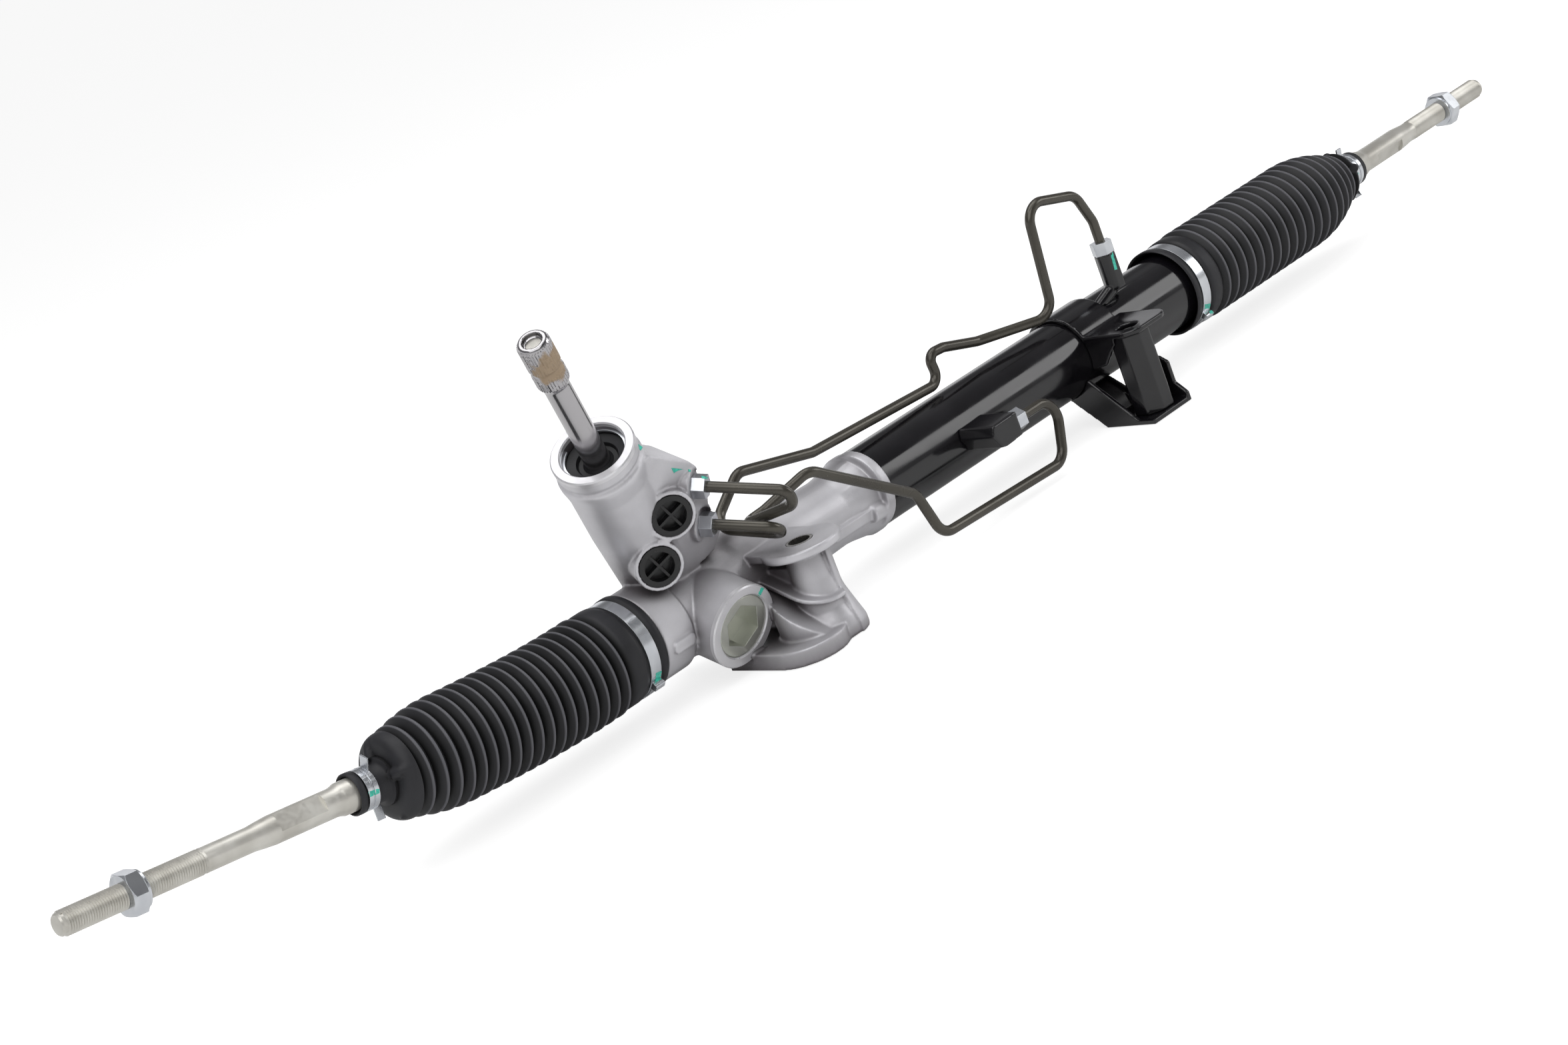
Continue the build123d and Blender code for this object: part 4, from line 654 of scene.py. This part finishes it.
def boot_path(name, large_end, way, profile, height):
    """A poly curve along the boot whose points carry the boot's radius."""
    curve = bpy.data.curves.new(name, "CURVE")
    curve.dimensions = "3D"
    spline = curve.splines.new("POLY")
    spline.points.add(len(profile) - 1)
    for point, (along, radius, _) in zip(spline.points, profile):
        point.co = (large_end.x + way * along, large_end.y, large_end.z + height(along), 1)
        point.radius = radius
    return curve


def dome_ribs(mesh, large_end, way, first, last, axis_height):
    """Raise four ribs across the dome at the small end of a boot, wider towards the neck."""
    inner, outer = RIB_WIDTHS
    for vertex in mesh.vertices:
        along = way * (vertex.co.x - large_end.x)
        if not first < along < last:
            continue
        flat = Vector((0, vertex.co.y - large_end.y, vertex.co.z - large_end.z - axis_height(along)))
        share = (flat.length - RIB_FOOT_R) / RIB_REACH
        if not 0 < share < 1:
            continue
        quarters = (math.atan2(flat.z, flat.y) + RIB_TURN) / (math.pi / 2)
        off = abs((quarters + 0.5) % 1 - 0.5) * math.pi / 2 * flat.length
        width = inner + (outer - inner) * share
        rib = max(0.0, 1 - (off / width) ** 2) ** 0.5 * (1 - share) ** 0.5 * RIB_LIFT
        vertex.co.x += way * rib
        vertex.co += flat.normalized() * rib * RIB_SPREAD


def face_outward(mesh, large_end, way, axis_height):
    """Turn a swept tube's faces so that they point away from its centre line."""
    lean = 0
    for face in mesh.polygons:
        rise = axis_height(way * (face.center.x - large_end.x))
        axis = Vector((face.center.x, large_end.y, large_end.z + rise))
        lean += face.normal.dot(face.center - axis)
    if lean < 0:
        mesh.flip_normals()


def cut_rings(mesh, first, last):
    """The part of a swept mesh between two of its rings."""
    piece = mesh.copy()
    shape = bmesh.new()
    shape.from_mesh(piece)
    shape.verts.ensure_lookup_table()
    kept = range(first * SWEEP_SIDES, (last + 1) * SWEEP_SIDES)
    out = [vertex for vertex in shape.verts if vertex.index not in kept]
    bmesh.ops.delete(shape, geom=out, context="VERTS")
    shape.to_mesh(piece)
    shape.free()
    return piece


def sweep_boot(side, large_end, way, profile, height, rubber):
    """The whole boot's outer surface, with each ring's share of painted crest highlight."""
    curve = boot_path(side + "_boot_path", large_end, way, profile, height)
    whole = bpy.data.objects.new(side + "_boot_whole", curve)
    bpy.context.scene.collection.objects.link(whole)
    curve.materials.append(rubber)
    modifier = whole.modifiers.new("Sweep", "NODES")
    modifier.node_group = bpy.data.node_groups.get("Revolved_path") or revolved_path_tree()
    modifier_input(modifier, "Sides", SWEEP_SIDES)
    modifier_input(modifier, "Material", rubber)
    mesh = bpy.data.meshes.new_from_object(whole.evaluated_get(bpy.context.evaluated_depsgraph_get()))
    bpy.data.objects.remove(whole)
    if len(mesh.vertices) != SWEEP_SIDES * len(profile):
        raise RuntimeError("boot sweep has an unexpected number of rings")
    face_outward(mesh, large_end, way, height)
    # Painted highlight: the rings of the flat crest get 1, which the rubber shader turns pale.
    crest_highlight = mesh.attributes.new("painted_crest_highlight", "FLOAT", "POINT")
    crest_highlight.data.foreach_set("value", [ring[2] for ring in profile for _ in range(SWEEP_SIDES)])
    return mesh


def build_boot(side, large_end, length, height):
    """One bellows boot, cut into three pieces."""
    boot = BOOTS[side]
    way = boot["way"]
    rubber = material_for(moulded_rubber)
    profile = boot_profile(length, boot)
    mesh = sweep_boot(side, large_end, way, profile, height, rubber)
    dome_start = length - boot["cap"]
    dome_ribs(mesh, large_end, way, dome_start, dome_start + boot["dome"] + RIB_PAST_DOME, height)
    stations = [ring[0] for ring in profile]
    cuts = [0] + [min(range(len(stations)), key=lambda i: abs(stations[i] - bend)) for bend in boot["bends"]]
    names = ("bellows", "shoulder", "neck")
    bodies = (("housing", "rack"), ("rack", f"{side}_ball_seat"), (f"{side}_ball_seat", f"{side}_tie_rod"))
    for index, (part, pair) in enumerate(zip(names, bodies)):
        last = cuts[index + 1] if index < 2 else len(profile) - 1
        piece = new_piece(f"{side}_boot_{part}", cut_rings(mesh, cuts[index], last), rubber)
        wall = piece.modifiers.new("Wall", "SOLIDIFY")
        wall.thickness = boot_settings().wall
        wall.offset = -1
        bake_modifiers(piece)
        smooth_by_angle(piece.data, 60)
        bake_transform(piece)
        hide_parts(f"{side}_boot")
    bpy.data.meshes.remove(mesh)


class RACK_OT_boots(bpy.types.Operator):
    """Bellows boots with rounded pleats, a ribbed dome and a lipped neck"""
    bl_idname = "rack.boots"
    bl_label = "Boots"

    def execute(self, context):
        settings = boot_settings()
        left_length = LEFT_BOOT_START.x - LEFT_BALL.x + settings.left_end
        build_boot("left", LEFT_BOOT_START, left_length, left_line)
        right_length = RIGHT_BALL.x + settings.right_end - RIGHT_BOOT_START.x
        build_boot("right", RIGHT_BOOT_START, right_length, straight_line)
        return {"FINISHED"}


# ---------------------------------------------------------------- tie rods
RIDGE_SHARE = 0.6               # height of the thread's ridge, as a share of its pitch
THREAD_INSET = 0.0005           # the ridge stops this far inside either end of the thread
HAIR = 1e-5                     # so that rings right at the thread's ends are taken with it


class RACK_OT_tie_rods(bpy.types.Operator):
    """Tie rods with a real helical thread, and their jam nuts"""
    bl_idname = "rack.tie_rods"
    bl_label = "Tie rods"

    def execute(self, context):
        settings = context.scene.rack_rods
        metal = material_for(plated_rod)
        group = thread_tree()
        depth = RIDGE_SHARE * settings.pitch
        core = settings.radius - depth
        thread = (settings.thread_start - HAIR, settings.thread_end + HAIR)
        length = settings.thread_end - settings.thread_start - 2 * THREAD_INSET
        for side, ball, out in (("left", LEFT_BALL, LEFT_OUT), ("right", RIGHT_BALL, RIGHT_OUT)):
            place = axis_place(ball, out)
            back = place.inverted()
            mesh = merged_copy(f"{side}_tie_rod")
            for vertex in mesh.vertices:
                local = back @ vertex.co
                radius = math.hypot(local.x, local.y)
                if thread[0] < local.z < thread[1] and radius > core:
                    local.x *= core / radius
                    local.y *= core / radius
                    vertex.co = place @ local
            smooth_by_angle(mesh, 28)
            rod = new_piece(f"{side}_tie_rod_bar", mesh, metal)
            stand_in(rod, f"{side}_tie_rod", f"{side}_tie_rod")
            ridge = new_piece(f"{side}_tie_rod_thread", bpy.data.meshes.new("thread"), metal)
            run_tree(ridge, group, {
                "Pitch": settings.pitch, "Root radius": core, "Depth": depth, "Steps per turn": 36,
                "Length": length, "Material": metal})
            ridge.data.transform(place @ Matrix.Translation((0, 0, settings.thread_start + THREAD_INSET)))
            smooth_by_angle(ridge.data, 50)
            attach(ridge, f"{side}_tie_rod")
            smooth_node(f"{side}_jam_nut", f"{side}_tie_rod", 20)
        return {"FINISHED"}


# ---------------------------------------------------------------- metal bodies
# (grid, smoothing passes, faces left) of the pieces whose corners are rounded
FORGED_FINISH = (0.0007, 3, 60000)
SHAFT_FINISH = (0.0004, 4, 90000)
PLAIN_PIECES = (
    "cylinder_tube", "left_pipe", "right_pipe", "upper_flare_nut", "lower_flare_nut", "left_flare_nut",
    "right_flare_nut", "upper_port_plug", "lower_port_plug", "yoke_plug", "mount_sleeve",
    "left_band_clamp", "right_band_clamp", "top_seal")
SOFTENED_PIECES = ("bracket_top", "bracket_bottom", "bracket_column", "left_port", "right_port")


def soften(piece, voxel, passes, triangles):
    """Round a piece's corners as a sand mould does: even small faces, smoothed, then thinned out."""
    even = piece.modifiers.new("Even faces", "REMESH")
    even.mode = "VOXEL"
    even.voxel_size = voxel
    bake_modifiers(piece)
    shape = bmesh.new()
    shape.from_mesh(piece.data)
    for _ in range(passes):
        bmesh.ops.smooth_vert(shape, verts=shape.verts, factor=0.5, use_axis_x=True, use_axis_y=True,
                              use_axis_z=True)
    bmesh.ops.triangulate(shape, faces=shape.faces)
    shape.to_mesh(piece.data)
    shape.free()
    thin = piece.modifiers.new("Fewer faces", "DECIMATE")
    thin.ratio = min(1.0, triangles / len(piece.data.polygons))
    bake_modifiers(piece)
    piece.data.shade_smooth()


def machined_face(name, foot, direction, face, inner, outer):
    """A bright turned rim, laid round a bore's mouth and bevelled on both edges."""
    edge = 0.0007               # width of the bevels
    back = 0.003                # how far the rim reaches down the bore and the outside
    proud = 0.00008             # over the casting
    top = face + proud
    profile = [(top - back, inner - proud), (top - edge, inner - proud), (top, inner + edge),
               (top, outer - edge), (top - edge, outer + proud), (top - back, outer + proud)]
    mesh = turned_mesh(name, profile, axis_place(foot, direction))
    rim = new_piece(name, mesh, material_for(machined_aluminium))
    smooth_by_angle(rim.data, 25)
    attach(rim, "housing")


class RACK_OT_casting(bpy.types.Operator):
    """Cast pinion housing with softened corners, and the faces that are turned on it"""
    bl_idname = "rack.casting"
    bl_label = "Casting"

    def execute(self, context):
        settings = context.scene.rack_casting
        piece = new_piece("housing_casting", merged_copy("housing"), material_for(cast_aluminium))
        soften(piece, settings.grid, settings.passes, settings.triangles)
        stand_in(piece, "housing", "housing")
        machined_face("tower_mouth_face", PINION_FOOT, PINION_AXIS, settings.tower_top, settings.mouth_bore,
                      settings.mouth_radius)
        machined_face("yoke_boss_face", YOKE_FOOT, TO_YOKE, settings.yoke_face, settings.yoke_bore,
                      settings.yoke_radius)
        return {"FINISHED"}


class RACK_OT_metalwork(bpy.types.Operator):
    """Smooth copies of the tube, ports, pipes, nuts, plugs, bracket, clamps and shaft"""
    bl_idname = "rack.metalwork"
    bl_label = "Metalwork"

    def execute(self, context):
        for node in PLAIN_PIECES:
            smooth_node(node, "housing")
        for node in SOFTENED_PIECES:
            soften(smooth_node(node, "housing"), *FORGED_FINISH)
        soften(smooth_node("input_shaft", "input_shaft"), *SHAFT_FINISH)
        for side in ("left", "right"):
            smooth_node(f"{side}_neck_clamp", f"{side}_tie_rod")
        return {"FINISHED"}


# ---------------------------------------------------------------- paint
PAINT_COLUMNS, PAINT_ROWS = 14, 8
PAINT_LIFT = 0.00012            # over the surface, and half the thickness of the dab
PAINT_STEP = 0.003              # a longer edge would bridge two surfaces, so its face is left out
PAINT_RAGGED = 0.06             # how far the dab's sides wander, as a share of its width


def through_pixel(across, down):
    """Direction of the camera's line of sight through a pixel of the full image."""
    across = (across - IMAGE_SIZE[0] / 2) / FOCAL_PX
    down = (down - IMAGE_SIZE[1] / 2) / FOCAL_PX
    return (VIEW_FORWARD + VIEW_RIGHT * across + VIEW_DOWN * down).normalized()


def paint_patch(name, carrier, corners):
    """A thin dab of paint laid on a piece's surface, inside four corners given as pixels."""
    tree = BVHTree.FromObject(carrier, bpy.context.evaluated_depsgraph_get())
    top_left, top_right, low_right, low_left = [Vector(corner) for corner in corners]
    shape = bmesh.new()
    grid = []
    for row in range(PAINT_ROWS + 1):
        down = row / PAINT_ROWS
        line = []
        for column in range(PAINT_COLUMNS + 1):
            ragged = PAINT_RAGGED * math.sin(9.1 * row + 2.3) if column in (0, PAINT_COLUMNS) else 0
            share = column / PAINT_COLUMNS + ragged
            pixel = top_left.lerp(top_right, share).lerp(low_left.lerp(low_right, share), down)
            hit, normal, _, _ = tree.ray_cast(EYE, through_pixel(*pixel))
            line.append(shape.verts.new(hit + normal * PAINT_LIFT) if hit else None)
        grid.append(line)
    for upper, lower in zip(grid, grid[1:]):
        for column in range(PAINT_COLUMNS):
            ring = (upper[column], lower[column], lower[column + 1], upper[column + 1])
            if None in ring or max((a.co - b.co).length for a in ring for b in ring) > PAINT_STEP:
                continue
            shape.faces.new(ring)
    if not shape.faces:
        raise RuntimeError(f"{name} misses {carrier.name}")
    loose = [vertex for vertex in shape.verts if not vertex.link_faces]
    bmesh.ops.delete(shape, geom=loose, context="VERTS")
    mesh = bpy.data.meshes.new(name)
    shape.to_mesh(mesh)
    shape.free()
    if sum(face.normal.dot(VIEW_FORWARD) for face in mesh.polygons) > 0:
        mesh.flip_normals()
    dab = new_piece(name, mesh, material_for(marking_paint))
    coat = dab.modifiers.new("Coat", "SOLIDIFY")
    coat.thickness = 2 * PAINT_LIFT
    coat.offset = -1
    bake_modifiers(dab)
    smooth_by_angle(dab.data, 40)
    return dab


# Each dab: the piece under it, that piece's body, and its corners from the top left clockwise
PAINT = {
    "tower_rim": ("housing_casting", "housing", ((957, 666), (964, 671), (961, 676), (959, 674))),
    "tower_side": ("housing_casting", "housing", ((1007, 702), (1024, 704), (1014, 707), (1011, 710))),
    "tower_dot": ("housing_casting", "housing", ((1032, 704), (1036, 705), (1036, 708), (1033, 708))),
    "upper_flare_nut": ("upper_flare_nut_surface", "housing",
                        ((1052, 714), (1062, 716), (1061, 719), (1053, 718))),
    "yoke_rim": ("yoke_boss_face", "housing", ((1142, 881), (1146, 883), (1136, 902), (1133, 900))),
    "left_band": ("left_band_clamp_surface", "housing",
                  ((984, 1010), (1000, 1003), (1004, 1012), (983, 1024))),
    "left_neck": ("left_neck_clamp_surface", "left_tie_rod",
                  ((541, 1192), (574, 1181), (574, 1188), (541, 1202))),
    "right_neck": ("right_neck_clamp_surface", "right_tie_rod",
                   ((2022, 261), (2038, 259), (2037, 268), (2023, 271))),
    "right_barrel": ("right_port_surface", "housing", ((1664, 375), (1668, 375), (1676, 404), (1672, 405))),
    "right_band": ("right_band_clamp_surface", "housing",
                   ((1807, 457), (1817, 455), (1816, 463), (1808, 463))),
    "right_band_ear": ("right_band_clamp_surface", "housing",
                       ((1814, 467), (1819, 465), (1820, 470), (1815, 471))),
}


class RACK_OT_paint(bpy.types.Operator):
    """Dabs of inspection paint over the joints that were tightened"""
    bl_idname = "rack.paint"
    bl_label = "Inspection paint"

    def execute(self, context):
        for name, (carrier, body, corners) in PAINT.items():
            dab = paint_patch("paint_" + name, bpy.data.objects[carrier], corners)
            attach(dab, body)
        return {"FINISHED"}


# ---------------------------------------------------------------- stage
WHITE = (1, 1, 1, 1)
FILL_LIGHT = 0.42               # strength of the room for matt surfaces
FLOOR_GREY = (0.42, 0.42, 0.42, 1)    # what the camera sees of shadows on the floor
FLOOR_GLOW = 0.76               # lifts the lit floor to white for the camera
# Grey of the room that metal mirrors, by height: 0 is straight down and 1 straight up
ROOM_GREYS = ((0.22, 0.95), (0.3, 0.16), (0.5, 0.12), (0.62, 0.3))
FLOOR_HALF = 12
FLOOR_DROP = 0.0004             # under the mounting seats
LAMP_TARGET = (0.15, 0.05, 0.05)
LAMPS = {                       # place, size and power in watts
    "Key": ((-1.3, -1.2, 1.9), (2.6, 1.9), 27),
    "Top": ((0.2, 0.2, 2.2), (2.4, 1.2), 20),
    "Strip": ((0.3, -1.0, 2.0), (2.2, 0.1), 3),
    "Side": ((1.9, -1.3, 0.9), (1.0, 1.0), 9),
}


def studio_world():
    """White ground for the camera; for reflections a white wall behind the part and a dim room before it."""
    world = bpy.data.worlds.new("Studio")
    tree = empty_tree(world)
    rays = add(tree, "ShaderNodeLightPath")
    place = add(tree, "ShaderNodeTexCoord")
    split = add(tree, "ShaderNodeSeparateXYZ", {"Vector": place.outputs["Generated"]})
    room = add(tree, "ShaderNodeValToRGB", {"Fac": split.outputs["Z"]})
    ramp = room.color_ramp
    ramp.elements[0].position, ramp.elements[0].color = 0.0, WHITE
    ramp.elements[1].position, ramp.elements[1].color = 1.0, (0.3, 0.3, 0.31, 1)
    for height, grey in ROOM_GREYS:
        ramp.elements.new(height).color = (grey, grey, grey * 1.03, 1)
    plain = add(tree, "ShaderNodeBackground", {"Color": WHITE, "Strength": FILL_LIGHT})
    depth = between(tree, split.outputs["Y"], 0.3, 1.0, -0.9, 0.4)
    glossy = add(tree, "ShaderNodeBackground", {"Color": room.outputs["Color"], "Strength": depth})
    white = add(tree, "ShaderNodeBackground", {"Color": WHITE, "Strength": 1.0})
    shiny = add(tree, "ShaderNodeMixShader", {0: rays.outputs["Is Glossy Ray"], 1: plain.outputs[0],
                                              2: glossy.outputs[0]})
    seen = add(tree, "ShaderNodeMixShader", {0: rays.outputs["Is Camera Ray"], 1: shiny.outputs[0],
                                             2: white.outputs[0]})
    add(tree, "ShaderNodeOutputWorld", {"Surface": seen.outputs[0]})
    bpy.context.scene.world = world


def floor():
    """Plain pale floor under the mounting seats, lifted to white for the camera but for a soft shadow."""
    shape = bmesh.new()
    bmesh.ops.create_grid(shape, x_segments=1, y_segments=1, size=FLOOR_HALF)
    mesh = bpy.data.meshes.new("Floor")
    shape.to_mesh(mesh)
    shape.free()
    mesh.transform(Matrix.Translation((0, 0, -FLOOR_DROP)))
    material = bpy.data.materials.new("Matt_paper_floor")
    tree = empty_tree(material)
    rays = add(tree, "ShaderNodeLightPath")
    matt = add(tree, "ShaderNodeBsdfDiffuse", {"Color": (*bpy.context.scene.rack_looks.floor, 1)})
    faint = add(tree, "ShaderNodeBsdfDiffuse", {"Color": FLOOR_GREY})
    glow = add(tree, "ShaderNodeEmission", {"Color": WHITE, "Strength": FLOOR_GLOW})
    lifted = add(tree, "ShaderNodeAddShader", {0: faint.outputs[0], 1: glow.outputs[0]})
    seen = add(tree, "ShaderNodeMixShader", {0: rays.outputs["Is Camera Ray"], 1: matt.outputs[0],
                                             2: lifted.outputs[0]})
    add(tree, "ShaderNodeOutputMaterial", {"Surface": seen.outputs[0]})
    piece = new_piece("Floor", mesh, material)


def soft_box(name, place, size, power):
    """Rectangular area lamp aimed at the part."""
    lamp = bpy.data.lights.new(name, "AREA")
    lamp.shape = "RECTANGLE"
    lamp.size, lamp.size_y = size
    lamp.energy = power
    made = bpy.data.objects.new(name, lamp)
    bpy.context.scene.collection.objects.link(made)
    made.location = place
    made.rotation_euler = (Vector(LAMP_TARGET) - Vector(place)).to_track_quat("-Z", "Y").to_euler()


def camera():
    """Long lens, from the front left and above."""
    data = bpy.data.cameras.new("Camera")
    data.sensor_width = SENSOR_MM
    data.lens = SENSOR_MM * FOCAL_PX / IMAGE_SIZE[0]
    data.clip_start, data.clip_end = 0.05, 60
    made = bpy.data.objects.new("Camera", data)
    bpy.context.scene.collection.objects.link(made)
    turn = Matrix((VIEW_RIGHT, -VIEW_DOWN, -VIEW_FORWARD)).transposed().to_4x4()
    made.matrix_world = Matrix.Translation(EYE) @ turn
    bpy.context.scene.camera = made


class RACK_OT_stage(bpy.types.Operator):
    """Floor, soft light and camera"""
    bl_idname = "rack.stage"
    bl_label = "Stage"

    def execute(self, context):
        studio_world()
        floor()
        for name, (place, size, power) in LAMPS.items():
            soft_box(name, place, size, power)
        camera()
        context.scene.view_settings.view_transform = "Standard"
        return {"FINISHED"}


class RACK_PT_panel(bpy.types.Panel):
    bl_idname = "RACK_PT_panel"
    bl_label = "Steering rack"
    bl_space_type = "VIEW_3D"
    bl_region_type = "UI"
    bl_category = "Steering rack"

    def draw(self, context):
        for operator in OPERATORS:
            self.layout.operator(operator.bl_idname)


OPERATORS = (RACK_OT_finishes, RACK_OT_casting, RACK_OT_metalwork, RACK_OT_tie_rods, RACK_OT_boots,
             RACK_OT_paint, RACK_OT_stage)
SETTINGS = {"rack_boots": BootSettings, "rack_rods": RodSettings, "rack_casting": CastingSettings,
            "rack_looks": LookSettings}


def register():
    for kind in (*SETTINGS.values(), *OPERATORS, RACK_PT_panel):
        bpy.utils.register_class(kind)
    for name, kind in SETTINGS.items():
        setattr(bpy.types.Scene, name, PointerProperty(type=kind))


def unregister():
    for name in SETTINGS:
        delattr(bpy.types.Scene, name)
    for kind in (RACK_PT_panel, *reversed(OPERATORS), *SETTINGS.values()):
        bpy.utils.unregister_class(kind)


def main():
    """Build the part's looks and stage."""
    register()
    bpy.ops.rack.finishes()
    bpy.ops.rack.casting()
    bpy.ops.rack.metalwork()
    bpy.ops.rack.tie_rods()
    bpy.ops.rack.boots()
    bpy.ops.rack.paint()
    bpy.ops.rack.stage()


if __name__ == "__main__":
    main()
